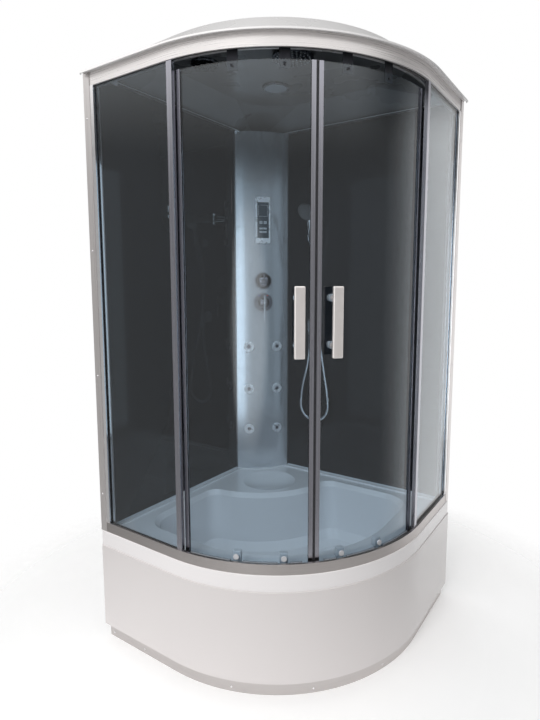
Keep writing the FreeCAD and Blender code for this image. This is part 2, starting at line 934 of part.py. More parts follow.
def make_handle():
    """Flat bar handle on two posts, with a round knob behind the glass at each post."""
    out = door_glass_outer + handle_gap
    w = handle_width / 2
    bar = box(out, out + handle_depth, -w, w, handle_base, handle_base + handle_height)
    bar = bar.makeFillet(handle_fillet, bar.Edges)
    pieces = [bar]
    for z in handle_posts:
        pieces.append(rod_at(handle_post_radius, door_glass_outer + face_clearance, out + handle_depth / 2, 0, z))
        pieces.append(rod_at(glass_bolt_radius, door_glass_inner - handle_knob_depth / 2, out, 0, z))
        knob_end = door_glass_inner - face_clearance
        knob = rod_at(handle_knob_radius, knob_end - handle_knob_depth, knob_end, 0, z)
        pieces.append(knob.makeFillet(handle_fillet / 2, knob.Edges))
    return radial_place(fuse_all(pieces), -handle_angle)


def make_carriers():
    """Plates on flush bolts at the top of a door, each with the axle of its wheel."""
    r = door_glass_inner - carrier_gap
    w = carrier_width / 2
    carriers = []
    for degrees in carrier_angles():
        plate = box(r - carrier_thickness, r, -w, w, z_wheel - carrier_drop, z_wheel + carrier_rise)
        bolt = rod_at(glass_bolt_radius, r - carrier_thickness, door_glass_outer, 0, z_carrier_bolt)
        axle = rod_at(axle_radius, wheel_inner - axle_end, r, 0, z_wheel)
        boss = rod_at(axle_radius * 2, wheel_inner + wheel_width + face_clearance, r, 0, z_wheel)
        carriers.append(radial_place(fuse_all([plate, bolt, axle, boss]), -degrees))
    return Part.makeCompound(carriers)


def make_wheel(degrees):
    """Grooved wheel that runs on the track of the top rail."""
    g = wheel_groove
    w = wheel_width
    r = wheel_radius
    outside = [(0, 0), (0, r), (w / 3, r), (w / 2, r - g), (w * 2 / 3, r), (w, r), (w, 0)]
    profile = [V(x, 0, z) for x, z in outside]
    tyre = Part.Face(Part.makePolygon(profile + profile[:1])).revolve(V(0, 0, 0), V(1, 0, 0), 360)
    wheel = tyre.cut(rod(axle_radius + running_clearance, -overrun, w + overrun))
    wheel.translate(V(wheel_inner, 0, z_wheel))
    return radial_place(wheel, -degrees)


def make_guides():
    """Guides at the foot of a door, whose two legs stand on either side of the track rib."""
    r = door_glass_inner - face_clearance
    w = guide_width / 2
    base = door_bottom + guide_rise
    guides = []
    for degrees in carrier_angles():
        housing = box(r - guide_depth, r, -w, w, base, base + guide_height)
        housing = housing.makeFillet(handle_fillet / 2, housing.Edges)
        bolt = rod_at(glass_bolt_radius, r - guide_depth / 2, door_glass_outer + cap_depth, 0, z_guide)
        cap_start = door_glass_outer + face_clearance
        cap = rod_at(cap_radius, cap_start, cap_start + cap_depth, 0, z_guide)
        inner_leg = box(track_inner - fork_clearance - fork_inner_wall, track_inner - fork_clearance, -w, w,
                        base - fork_length, base + fork_length / 2)
        leg_start = track_outer + fork_clearance
        outer_leg = box(leg_start, leg_start + fork_outer_wall, -w / 2, w / 2, base - fork_length,
                        base + fork_length / 2)
        guides.append(radial_place(fuse_all([housing, bolt, cap, inner_leg, outer_leg]), -degrees))
    return Part.makeCompound(guides)


def column_wedge(depth):
    """Space between the two rear walls, out to a distance from the corner."""
    near = wall_gap / root_half
    side = depth - near
    points = [V(0, -near, z_rail), V(-side, -depth, z_rail), V(side, -depth, z_rail)]
    return polygon_solid(points, V(0, 0, z_frame_top - z_rail))


def column_tube(radius):
    return upright_rod(radius, 0, column_axis_y, z_rail, z_frame_top - z_rail)


def make_column():
    """Curved front of the service column, closed by a plate at its top."""
    wedge = column_wedge(wedge_depth)
    skin = column_tube(column_radius).cut(column_tube(column_radius - column_wall))
    lid = upright_rod(column_radius, 0, column_axis_y, z_frame_top - column_cap, column_cap)
    lid = lid.cut(upright_rod(riser_radius + face_clearance, 0, -pipe_line(), z_frame_top - column_cap - overrun,
                              column_cap + overrun + overrun))
    body = fuse_all([skin.common(wedge), lid.common(wedge)])
    body = column_place(body)
    g = face_clearance
    post_y = half - rear_post_reach
    notch = box(-half - overrun, rear_post_width - half + g, post_y - g, post_y + rear_post_width + g,
                z_frame_top - column_cap - overrun, z_frame_top + overrun)
    body = body.cut(notch).cut(mirror_diagonal(notch))
    opening = box(-column_wall - overrun, overrun, -screen_width / 2, screen_width / 2, 0, screen_height)
    cuts = [column_face_place(opening, 0, bezel_base + screen_rise)]
    for z in (mixer_height, diverter_height):
        cuts.append(column_face_place(rod(spindle_hole_radius, -column_wall - overrun, overrun), 0, z))
    for z in jet_heights:
        for side in (-1, 1):
            hole = rod(jet_socket_radius + face_clearance, -column_wall - overrun, overrun)
            cuts.append(column_face_place(hole, side * jet_angle, z))
    for cut in cuts:
        body = body.cut(cut)
    return body


def pipe_line():
    """Distance of the pipes from the rear corner."""
    return column_reach - pipe_setback


def bezel_blank(x0, x1, width, height, base):
    return box(x0, x1, -width / 2, width / 2, base, base + height)


def button_shapes():
    """Outlines of the four buttons: name, middle, width, height and rise above the bezel's foot."""
    return [
        ("arrow_left_button", -arrow_button_spread, arrow_button_width, arrow_button_height, arrow_button_rise),
        ("arrow_right_button", arrow_button_spread, arrow_button_width, arrow_button_height, arrow_button_rise),
        ("lamp_button", 0.0, bar_button_width, bar_button_height, lamp_button_rise),
        ("power_button", 0.0, bar_button_width, bar_button_height, power_button_rise),
    ]


def button_block(middle, width, height, rise, x0, x1):
    return box(x0, x1, middle - width / 2, middle + width / 2, rise - height / 2, rise + height / 2)


def make_bezel():
    """Frame of the control panel, hollow behind its screen, with pockets for the buttons."""
    body = bezel_blank(-overrun, bezel_depth, bezel_width, bezel_height, 0)
    body = body.makeFillet(bezel_fillet, [e for e in body.Edges if abs(e.tangentAt(0).x) > 0.9])
    window = bezel_blank(bezel_depth - screen_depth, bezel_depth + overrun, screen_width, screen_height,
                         screen_rise)
    body = body.cut(window)
    for name, middle, width, height, rise in button_shapes():
        grown = button_gap * 2
        pocket_floor = bezel_depth + button_proud - button_depth - button_travel - button_gap
        body = body.cut(button_block(middle, width + grown, height + grown, rise, pocket_floor, bezel_depth))
    placed = column_face_place(body, 0, bezel_base)
    core = column_place(column_tube(column_radius + running_clearance))
    return placed.cut(core)


def make_screen():
    """Dark screen plate in the bezel, cut out round the buttons."""
    plate = bezel_blank(bezel_depth - screen_depth, bezel_depth, screen_width, screen_height, screen_rise)
    for name, middle, width, height, rise in button_shapes():
        grown = button_gap * 2
        plate = plate.cut(button_block(middle, width + grown, height + grown, rise, 0, bezel_depth + overrun))
    return column_face_place(plate, 0, bezel_base)


def make_button(middle, width, height, rise):
    front_x = bezel_depth + button_proud
    key = button_block(middle, width, height, rise, front_x - button_depth, front_x)
    rim = [e for e in key.Edges if e.BoundBox.XMin > front_x - button_travel]
    key = key.makeFillet(button_travel / 2, rim)
    return column_face_place(key, 0, bezel_base)


def make_escutcheons():
    """Round cover plates behind the two knobs."""
    plates = []
    for radius, z in ((escutcheon_radius, mixer_height), (diverter_ring_radius, diverter_height)):
        plate = rod(radius, 0, escutcheon_depth)
        edge = [e for e in plate.Edges if e.BoundBox.XMin > escutcheon_depth / 2]
        plate = plate.makeFillet(escutcheon_depth / 3, edge)
        plates.append(column_face_place(plate.cut(rod(spindle_hole_radius, -overrun, escutcheon_depth + overrun)),
                                        0, z))
    return Part.makeCompound(plates)


knob_start = escutcheon_depth + knob_gap


def spindle_bore():
    return rod(spindle_radius + running_clearance, 0, spindle_reach + knob_gap)


def make_diverter():
    """Diverter knob with a raised pointer bar across its dome."""
    dome = dome_knob(diverter_dome_radius, diverter_dome_depth, dome_skirt, knob_start)
    w = diverter_pointer_width / 2
    end = knob_start + diverter_dome_depth
    pointer = box(knob_start + dome_skirt, end + diverter_pointer_rise, -w, w, -w, diverter_dome_radius - w)
    pointer = pointer.makeFillet(w / 2, [e for e in pointer.Edges if e.BoundBox.XMin > end])
    return column_face_place(dome.fuse(pointer).cut(spindle_bore()), 0, diverter_height)


def make_mixer_knob():
    """Mixer knob with two ears that carry the lever's pivot."""
    dome = dome_knob(mixer_dome_radius, mixer_dome_depth, dome_skirt, knob_start)
    h = ear_height / 2
    ears = []
    for side in (-1, 1):
        y0 = side * ear_gap
        y1 = side * (ear_gap + ear_wall)
        ear = box(knob_start + dome_skirt, lever_pivot, min(y0, y1), max(y0, y1), -h, h)
        tip = Part.makeCylinder(h, ear_wall, V(lever_pivot, min(y0, y1), 0), V(0, 1, 0))
        ears += [ear, tip]
    body = fuse_all([dome] + ears)
    reach = ear_gap + ear_wall + overrun
    hole = Part.makeCylinder(lever_pin_radius + running_clearance, reach * 2, V(lever_pivot, -reach, 0),
                             V(0, 1, 0))
    return column_face_place(body.cut(hole).cut(spindle_bore()), 0, mixer_height)


def make_lever():
    """Long lever of the mixer, with its pivot pin."""
    w = lever_width / 2
    bar = box(lever_stand, lever_stand + lever_depth, -w, w, -lever_down, lever_up)
    bar = bar.makeFillet(w / 2, bar.Edges)
    hub = Part.makeCylinder(lever_hub_radius, lever_width, V(lever_pivot, -w, 0), V(0, 1, 0))
    reach = ear_gap + ear_wall
    pin = Part.makeCylinder(lever_pin_radius, reach * 2, V(lever_pivot, -reach, 0), V(0, 1, 0))
    return column_face_place(fuse_all([bar, hub, pin]), 0, mixer_height)


def make_valve():
    """Mixer and diverter body behind the column's face, with spindles, collars and inlets."""
    x1 = -column_wall - valve_setback
    x0 = x1 - valve_depth
    w = valve_width / 2
    z0 = mixer_height - valve_below
    z1 = diverter_height + valve_above
    pieces = [box(x0, x1, -w, w, z0, z1)]
    for z in (mixer_height, diverter_height):
        pieces.append(rod_at(spindle_radius, x1 - spindle_radius, spindle_reach, 0, z))
        pieces.append(rod_at(spindle_hole_radius + column_wall, x1 - spindle_radius, 0, 0, z))
    body = fuse_all(pieces)
    shell = upright_rod(column_radius + overrun, -column_radius, 0, z0 - overrun, z1 - z0 + overrun + overrun)
    shell = shell.cut(upright_rod(column_radius - column_wall, -column_radius, 0, z0 - overrun, z1 - z0 + overrun
                                  + overrun))
    for z in (mixer_height, diverter_height):
        shell = shell.cut(rod_at(spindle_radius + running_clearance, -column_radius / 2, overrun, 0, z))
    body = body.cut(shell)
    z = z0 + inlet_rise
    for side in (-1, 1):
        body = body.fuse(rod_at(inlet_radius, x0 - inlet_length, x0, side * inlet_spread, z))
        body = body.cut(rod_at(inlet_radius * 2 / 3, x0 - inlet_length - overrun, x0 + inlet_radius,
                               side * inlet_spread, z))
    return column_face_place(body.removeSplitter(), 0, 0)


def make_pipes():
    """Pipes from the valve to the jets and up to the roof."""
    z_low = jet_heights[-1] - pipe_drop
    z_link = mixer_height - pipe_link_drop
    r = column_radius - pipe_setback
    valve_edge = valve_width / 2
    pipes = []
    for side in (-1, 1):
        at = polar(r, side * jet_angle, 0)
        line_height = z_link - z_low + pipe_radius + pipe_radius / 2
        column_line = upright_rod(pipe_radius, at.x, at.y, z_low, line_height)
        run = abs(at.y) - valve_edge
        link = Part.makeCylinder(pipe_radius - pipe_top_drop, run, V(at.x, side * valve_edge, z_link),
                                 V(0, side, 0))
        group = [column_line, link]
        for z in jet_heights:
            stub = rod_at(jet_feed_radius, r, column_radius - jet_socket_depth, 0, z)
            stub.rotate(V(0, 0, 0), V(0, 0, 1), side * jet_angle)
            group.append(stub)
        pipes.append(fuse_all(group))
    z_valve = diverter_height + valve_above
    pipes.append(upright_rod(riser_radius, r, 0, z_valve, z_frame_top - z_valve))
    placed = []
    for pipe in pipes:
        pipe.rotate(V(0, 0, 0), V(0, 0, 1), -90)
        pipe.translate(V(0, column_axis_y, 0))
        placed.append(column_place(pipe))
    return Part.makeCompound(placed)


def make_jet_ring():
    """Socket and flange of one jet, with a round seat for its ball."""
    c = -jet_ball_setback
    flange = rod(jet_ring_radius, 0, jet_ring_depth)
    front_edge = [e for e in flange.Edges if e.BoundBox.XMin > jet_ring_depth / 2]
    flange = flange.makeFillet(jet_ring_depth / 3, front_edge)
    body = flange.fuse(rod(jet_socket_radius, -jet_socket_depth, jet_ring_depth / 2))
    seat_radius_here = jet_ball_radius + jet_cavity_clearance
    body = body.cut(Part.makeSphere(seat_radius_here, V(c, 0, 0)))
    lip = jet_lip - c
    lip_radius = math.sqrt(seat_radius_here ** 2 - lip ** 2)
    mouth = Part.makeCone(lip_radius, jet_mouth_radius, jet_ring_depth - jet_lip, V(jet_lip, 0, 0), V(1, 0, 0))
    throat = rod(lip_radius, c, jet_lip)
    feed = rod(jet_feed_radius, -jet_socket_depth - overrun, c)
    return body.cut(mouth).cut(throat).cut(feed)


def make_nozzle():
    """Ball of one jet with its spray tip, turned about X round its bore."""
    c = -jet_ball_setback
    end = c + jet_tip_reach
    back = c - math.sqrt(jet_ball_radius ** 2 - jet_bore_radius ** 2)
    neck = c + math.sqrt(jet_ball_radius ** 2 - jet_tip_radius ** 2)
    profile = [
        arc(V(back, 0, jet_bore_radius), V(c, 0, jet_ball_radius), V(neck, 0, jet_tip_radius)),
        line(V(neck, 0, jet_tip_radius), V(end, 0, jet_tip_radius)),
        line(V(end, 0, jet_tip_radius), V(end, 0, jet_bore_radius)),
        line(V(end, 0, jet_bore_radius), V(back, 0, jet_bore_radius)),
    ]
    return Part.Face(Part.Wire(profile)).revolve(V(0, 0, 0), V(1, 0, 0), 360)


def make_roof():
    """Domed roof shell with a skirt over the top rail and a flange that rests on the frame."""
    z0 = z_frame_top - roof_skirt
    z1 = z0 + roof_rim_height
    z2 = z1 + shoulder_rise
    o = roof_overhang
    t = roof_wall
    outside = outline_loft([
        (o, 0, roof_corner, z0),
        (o, 0, roof_corner, z1),
        (o - shoulder_inset, shoulder_back, roof_corner + shoulder_back, z2),
        (o - dome_inset, dome_inset - o, dome_corner, z_dome),
    ])
    inside = outline_loft([
        (o - t, t, roof_corner - t, z0 - overrun),
        (o - t, t, roof_corner - t, z1 - t / 3),
        (o - shoulder_inset - t / 2, shoulder_back + t, roof_corner, z2 - t),
        (o - dome_inset - t / 2, dome_inset - o + t / 2, dome_corner - t / 2, z_dome - t),
    ])
    shell = outside.cut(inside)
    flange = slab(top_rail_outer, panel_gap, rim_corner, z_frame_top, roof_flange_height)
    flange = flange.cut(slab(-roof_flange_width, roof_flange_width, pocket_corner, z_frame_top - overrun,
                             roof_flange_height + overrun + overrun))
    rear = box(-half - overrun, roof_flange_width - half, rail_outer - front + t, half + overrun,
               z0 - overrun - overrun, z_frame_top)
    rear = rear.fuse(mirror_diagonal(rear))
    shell = shell.cut(rear).fuse(flange)
    stem_hole = upright_rod(rain_stem_radius + face_clearance, rain_offset, -rain_offset, z_dome - t - overrun,
                            t + overrun + overrun)
    return shell.cut(stem_hole).removeSplitter()


def make_rain_head():
    """Round rain head hung from the roof by its threaded stem."""
    x = rain_offset
    y = -rain_offset
    ceiling = z_dome - roof_wall
    z = ceiling - rain_drop
    disc = upright_rod(rain_radius, x, y, z, rain_thickness)
    top_edge = [e for e in disc.Edges if e.BoundBox.ZMin > z + rain_thickness / 2]
    disc = disc.makeFillet(rain_thickness / 3, top_edge)
    hub_height = rain_drop - rain_thickness - face_clearance
    hub = Part.makeCone(rain_nut_radius * 2, rain_stem_radius, hub_height, V(x, y, z + rain_thickness))
    stem = upright_rod(rain_stem_radius, x, y, z, z_dome + rain_nut_height - z)
    nut = upright_rod(rain_nut_radius, x, y, z_dome, rain_nut_height)
    nipple = upright_rod(rain_nipple_radius, x, y, z_dome, rain_nut_height + rain_nipple_height)
    pieces = [disc, hub, stem, nut, nipple]
    for ring in range(1, 5):
        count = rain_ring_holes * ring
        for i in range(count):
            at = polar(rain_ring_step * ring, 360 * i / count, 0)
            pieces.append(upright_rod(rain_nozzle_radius, x + at.x, y + at.y, z - rain_nozzle_height,
                                      rain_nozzle_height + rain_thickness / 2))
    return fuse_all(pieces)


def make_speaker():
    """Round slotted speaker cover under the roof."""
    z = z_dome - roof_wall - speaker_depth
    disc = upright_rod(speaker_radius, speaker_x, speaker_y, z, speaker_depth)
    low_edge = [e for e in disc.Edges if e.BoundBox.ZMax < z + speaker_depth / 2]
    disc = disc.makeFillet(speaker_depth / 3, low_edge)
    w = speaker_slot_width / 2
    for i in range(-3, 4):
        offset = i * speaker_slot_step
        reach = math.sqrt((speaker_radius - speaker_slot_step) ** 2 - offset ** 2)
        disc = disc.cut(box(speaker_x - reach, speaker_x + reach, speaker_y + offset - w, speaker_y + offset + w,
                            z - overrun, z + speaker_depth / 2))
    return disc


def make_light_ring():
    """Ring of the ceiling light."""
    z = z_dome - roof_wall - light_depth
    ring = upright_rod(light_radius, -light_offset, light_offset, z, light_depth)
    ring = ring.makeFillet(light_depth / 3, [e for e in ring.Edges if e.BoundBox.ZMax < z + light_depth / 2])
    return ring.cut(upright_rod(lens_radius, -light_offset, light_offset, z - overrun, lens_depth + overrun))


def make_light_lens():
    """Frosted lens in the ring of the ceiling light."""
    z = z_dome - roof_wall - light_depth
    return upright_rod(lens_radius - running_clearance, -light_offset, light_offset, z, lens_depth)


def make_shelf():
    """Glass shelf with round front corners."""
    x0 = -wall_face + face_clearance
    y0 = shelf_middle - shelf_length / 2
    plate = box(x0, x0 + shelf_depth, y0, y0 + shelf_length, shelf_height, shelf_height + shelf_thickness)
    uprights_here = [e for e in plate.Edges if e.BoundBox.ZLength > shelf_thickness / 2]
    corners = [e for e in uprights_here if e.BoundBox.XMin > x0 + shelf_corner]
    return plate.makeFillet(shelf_corner, corners)


def make_brackets():
    """Two clamps on the wall that grip the shelf from above and below."""
    w = bracket_width / 2
    z0 = shelf_height - bracket_base_drop
    brackets = []
    for side in (-1, 1):
        y = shelf_middle + side * bracket_spacing / 2
        x = -wall_face
        foot = box(x, x + bracket_foot, y - w, y + w, z0, z0 + bracket_height)
        front_edges = [e for e in foot.Edges if e.BoundBox.XMin > x + bracket_foot / 2]
        foot = foot.makeFillet(bracket_foot / 3, front_edges)
        lower = box(x, x + bracket_arm_depth, y - w, y + w, shelf_height - bracket_jaw, shelf_height)
        upper_base = shelf_height + shelf_thickness
        upper = box(x, x + bracket_arm_depth / 2, y - w, y + w, upper_base, upper_base + bracket_jaw)
        arm = foot.fuse(lower).fuse(upper)
        gap = box(x + face_clearance, x + bracket_arm_depth + overrun, y - w - overrun, y + w + overrun,
                  shelf_height, upper_base)
        brackets.append(arm.cut(gap).removeSplitter())
    return Part.makeCompound(brackets)


def make_hose_outlet():
    """Wall elbow that feeds the hose."""
    y = wall_face
    rose = Part.makeCylinder(outlet_rose_radius, outlet_rose_depth, V(outlet_x, y, outlet_height), V(0, -1, 0))
    front_edge = [e for e in rose.Edges if e.BoundBox.YMax < y - outlet_rose_depth / 2]
    rose = rose.makeFillet(outlet_rose_depth / 3, front_edge)
    arm = Part.makeCylinder(elbow_radius, elbow_reach, V(outlet_x, y, outlet_height), V(0, -1, 0))
    corner = Part.makeSphere(elbow_radius, V(outlet_x, y - elbow_reach, outlet_height))
    down = upright_rod(elbow_radius, outlet_x, y - elbow_reach, outlet_height - elbow_drop, elbow_drop)
    return fuse_all([rose, arm, corner, down])


def make_holder_base():
    """Wall rose and arm that end in the eye of the holder's pivot."""
    y = wall_face
    pivot = y - holder_pivot_reach
    rose = Part.makeCylinder(holder_rose_radius, holder_rose_depth, V(holder_x, y, holder_height), V(0, -1, 0))
    front_edge = [e for e in rose.Edges if e.BoundBox.YMax < y - holder_rose_depth / 2]
    rose = rose.makeFillet(holder_rose_depth / 3, front_edge)
    stop = holder_pivot_reach - holder_eye_radius - holder_rose_depth / 2
    arm = Part.makeCylinder(holder_arm_radius, stop, V(holder_x, y, holder_height), V(0, -1, 0))
    w = holder_eye_width / 2
    neck = box(holder_x - w, holder_x + w, pivot, y - holder_rose_depth / 2, holder_height - w,
               holder_height + w)
    eye = Part.makeCylinder(holder_eye_radius, holder_eye_width, V(holder_x - w, pivot, holder_height),
                            V(1, 0, 0))
    body = fuse_all([rose, arm, neck, eye])
    hole = Part.makeCylinder(holder_pin_radius + running_clearance, holder_eye_width + overrun + overrun,
                             V(holder_x - w - overrun, pivot, holder_height), V(1, 0, 0))
    return body.cut(hole)


def tilt_about_pivot(shape):
    """Lean a piece of the hand shower, modelled upright about the holder's cup, into the cabin."""
    pivot = V(holder_x, wall_face - holder_pivot_reach, holder_height)
    leaning = shape.copy()
    leaning.rotate(pivot, V(1, 0, 0), holder_tilt)
    return leaning


def cup_axis_y():
    return wall_face - holder_pivot_reach - cup_reach


def make_holder_cup():
    """Cup that grips the hand shower, with the fork and pin of its pivot."""
    y = cup_axis_y()
    pivot = wall_face - holder_pivot_reach
    z = holder_height
    cup = upright_rod(cup_radius, holder_x, y, z - cup_height / 2, cup_height)
    w = holder_eye_width / 2 + holder_fork_gap
    h = holder_eye_radius
    fork = []
    for side in (-1, 1):
        x0 = holder_x + side * w
        x1 = holder_x + side * (w + holder_fork_wall)
        fork.append(box(min(x0, x1), max(x0, x1), y, pivot, z - h, z + h))
        fork.append(Part.makeCylinder(h, holder_fork_wall, V(min(x0, x1), pivot, z), V(1, 0, 0)))
    reach = w + holder_fork_wall
    pin = Part.makeCylinder(holder_pin_radius, reach * 2, V(holder_x - reach, pivot, z), V(1, 0, 0))
    body = fuse_all([cup, pin] + fork)
    room = Part.makeCylinder(holder_eye_radius + sheet_wall, w * 2, V(holder_x - w, pivot, z), V(1, 0, 0))
    room = room.cut(pin)
    bore = upright_rod(handle_seat_radius + running_clearance, holder_x, y, z - cup_height, cup_height * 2)
    return tilt_about_pivot(body.cut(room).cut(bore))


def make_hand_shower():
    """Hand shower: waisted round handle and a tilted spray head."""
    y = cup_axis_y()
    z0 = holder_height - handle_bottom_drop
    z1 = holder_height - cup_height / 2
    z2 = holder_height + cup_height / 2
    z3 = z0 + handle_length
    profile = [
        line(V(0, 0, z0), V(handle_bottom_radius, 0, z0)),
        arc(V(handle_bottom_radius, 0, z0), V(handle_grip_radius, 0, (z0 + z1) / 2),
            V(handle_seat_radius, 0, z1)),
        line(V(handle_seat_radius, 0, z1), V(handle_seat_radius, 0, z2)),
        line(V(handle_seat_radius, 0, z2), V(handle_neck_radius, 0, z3 - handle_taper)),
        line(V(handle_neck_radius, 0, z3 - handle_taper), V(handle_tip_radius, 0, z3)),
        line(V(handle_tip_radius, 0, z3), V(0, 0, z3)),
        line(V(0, 0, z3), V(0, 0, z0)),
    ]
    handle = Part.Face(Part.Wire(profile)).revolve(V(0, 0, 0), V(0, 0, 1), 360)
    r = spray_radius
    d = spray_depth
    k = root_half
    head_profile = [
        line(V(0, 0, 0), V(r, 0, 0)),
        line(V(r, 0, 0), V(r, 0, d / 4)),
        arc(V(r, 0, d / 4), V(r * k, 0, d / 4 + d * 3 / 4 * k), V(0, 0, d)),
        line(V(0, 0, d), V(0, 0, 0)),
    ]
    head = Part.Face(Part.Wire(head_profile)).revolve(V(0, 0, 0), V(0, 0, 1), 360)
    nozzles = []
    for ring in (1, 2, 3):
        for i in range(ring * 6):
            at = polar(ring * r / 4, 60 * i / ring, 0)
            nozzles.append(upright_rod(spray_nozzle_radius, at.x, at.y, -spray_nozzle_height, spray_nozzle_height
                                       + d / 4))
    head = head.multiFuse(nozzles)
    head.rotate(V(0, 0, 0), V(1, 0, 0), -spray_tilt)
    head.translate(V(0, -spray_forward, z3 + spray_rise))
    body = handle.fuse(head)
    body.translate(V(holder_x, y, 0))
    return tilt_about_pivot(body)


def cord_tube(points, diameter):
    """Tube along straight runs joined by tangent arcs, with its radii and its length."""
    vs = [V(*p) for p in points]
    edges = []
    radii = []
    start = vs[0]
    for a, b, c in zip(vs, vs[1:], vs[2:]):
        u = (b - a).normalize()
        w = (c - b).normalize()
        turn = u.getAngle(w)
        trim = hose_arc_share * min(a.distanceToPoint(b), b.distanceToPoint(c))
        radius = trim / math.tan(turn / 2)
        radii.append(radius)
        p = b - u * trim
        q = b + w * trim
        inward = (w - u).normalize()
        middle = b + inward * (math.hypot(radius, trim) - radius)
        edges.append(line(start, p))
        edges.append(arc(p, middle, q))
        start = q
    edges.append(line(start, vs[-1]))
    path = Part.Wire(edges)
    first = (vs[1] - vs[0]).normalize()
    section = Part.Wire([Part.Circle(vs[0], first, diameter / 2).toShape()])
    tube = path.makePipeShell([section], True, False)
    length = sum(e.Length for e in edges)
    expected = math.pi * diameter ** 2 / 4 * length
    print("hose radii", [round(r, 1) for r in radii])
    print("hose length", round(length, 1), "volume", round(tube.Volume), "section times length", round(expected))
    return tube


# Tray, apron and what carries them
parts["tray"] = make_tray()
parts["apron"] = make_apron()
parts["plinth_strip"] = front_band(-apron_foot_flange, -apron_foot_flange - strip_thickness, strip_margin, 0,
                                   strip_height)
parts["tray_frame"] = make_bars()
parts["levelling_feet"] = make_feet()
parts["drain_waste"] = make_waste()
parts["drain_grid"] = make_grid()
parts["drain_trap"] = make_trap()

# Frame and glazing
parts["bottom_rail"] = make_bottom_rail()
parts["top_rail"] = make_top_rail()
uprights = [make_wall_profile(), make_rear_post()]
parts["frame_profiles"] = Part.makeCompound(uprights + [mirror_diagonal(s) for s in uprights])
for name, make in (("glass_channels", make_channel), ("fixed_glass", make_fixed_glass), ("door_posts", make_post),
                   ("back_panels", make_back_panel)):
    piece = make()
    parts[name] = Part.makeCompound([piece, mirror_diagonal(piece)])

# Sliding doors
for name, make in (("door_glass", make_door_glass), ("door_strips", make_door_strips), ("handle", make_handle),
                   ("carriers", make_carriers), ("bottom_guides", make_guides)):
    piece = make()
    parts["left_" + name] = piece
    parts["right_" + name] = mirror_diagonal(piece)
for number, degrees in enumerate(carrier_angles(), 1):
    wheel = make_wheel(degrees)
    parts["left_wheel_%d" % number] = wheel
    parts["right_wheel_%d" % number] = mirror_diagonal(wheel)

# Service column
parts["column_shell"] = make_column()
parts["control_bezel"] = make_bezel()
parts["control_screen"] = make_screen()
for name, middle, width, height, rise in button_shapes():
    parts[name] = make_button(middle, width, height, rise)
parts["valve_escutcheons"] = make_escutcheons()
parts["diverter_knob"] = make_diverter()
parts["mixer_knob"] = make_mixer_knob()
parts["mixer_lever"] = make_lever()
parts["mixer_valve"] = make_valve()
parts["water_pipes"] = make_pipes()
rings = []
ring = make_jet_ring()
nozzle = make_nozzle()
number = 0
for z in jet_heights:
    for side in (-1, 1):
        number += 1
        rings.append(column_face_place(ring, side * jet_angle, z))
        parts["nozzle_%d" % number] = column_face_place(nozzle, side * jet_angle, z)
parts["jet_rings"] = Part.makeCompound(rings)

# Roof
parts["roof"] = make_roof()
parts["rain_head"] = make_rain_head()
parts["ceiling_covers"] = Part.makeCompound([make_speaker(), make_light_ring()])
parts["ceiling_light_lens"] = make_light_lens()

# Wall fittings
parts["shelf_glass"] = make_shelf()
parts["shelf_brackets"] = make_brackets()
parts["hose_outlet"] = make_hose_outlet()
parts["holder_base"] = make_holder_base()
parts["holder_cup"] = make_holder_cup()
parts["hand_shower"] = make_hand_shower()
parts["shower_hose"] = cord_tube(hose_points, hose_diameter)

os.makedirs("parts", exist_ok=True)
for name, shape in parts.items():
    shape.exportStep("parts/" + name + ".step")
    if not shape.isValid():
        print("not valid:", name)
print(len(parts), "nodes")
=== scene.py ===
"""Looks of a hydromassage shower cabin with two curved sliding doors.

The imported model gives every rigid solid. This script gives the solids their finishes, adds the seals,
screws, trims and marks that they leave out, builds the ribbed hose, and sets up the studio.
"""

import logging
import math
from dataclasses import dataclass, field
from enum import Enum
from typing import Iterable, Sequence

import bmesh
import bpy
from mathutils import Matrix, Vector


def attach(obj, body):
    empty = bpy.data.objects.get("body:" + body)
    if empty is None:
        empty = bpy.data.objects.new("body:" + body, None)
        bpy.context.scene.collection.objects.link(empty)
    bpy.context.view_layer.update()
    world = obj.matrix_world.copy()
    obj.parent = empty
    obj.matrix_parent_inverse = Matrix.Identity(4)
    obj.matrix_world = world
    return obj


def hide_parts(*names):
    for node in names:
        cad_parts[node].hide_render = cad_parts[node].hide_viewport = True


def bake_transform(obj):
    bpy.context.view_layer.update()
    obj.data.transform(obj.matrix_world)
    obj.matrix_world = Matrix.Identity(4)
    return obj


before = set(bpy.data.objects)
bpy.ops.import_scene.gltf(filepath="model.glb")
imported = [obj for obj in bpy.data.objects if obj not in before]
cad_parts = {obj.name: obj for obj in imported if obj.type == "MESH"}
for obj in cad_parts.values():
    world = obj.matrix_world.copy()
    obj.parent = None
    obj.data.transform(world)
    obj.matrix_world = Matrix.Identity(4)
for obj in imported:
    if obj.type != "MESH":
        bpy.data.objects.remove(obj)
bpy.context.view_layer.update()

log = logging.getLogger("shower_cabin")
UP = Vector((0, 0, 1))
NOISE_LOW, NOISE_HIGH = 0.3, 0.7
Socket = bpy.types.NodeSocket
Colour = tuple[float, float, float]
Place = tuple[float, float, float]


class Side(Enum):
    """Which half of the cabin a mirrored piece belongs to."""

    LEFT = "left"
    RIGHT = "right"


class Grain(Enum):
    """Direction of the brush lines of a drawn profile, as the stretch of its noise."""

    UPRIGHT = (340.0, 340.0, 3.0)
    LEVEL = (5.0, 5.0, 420.0)


# Node trees


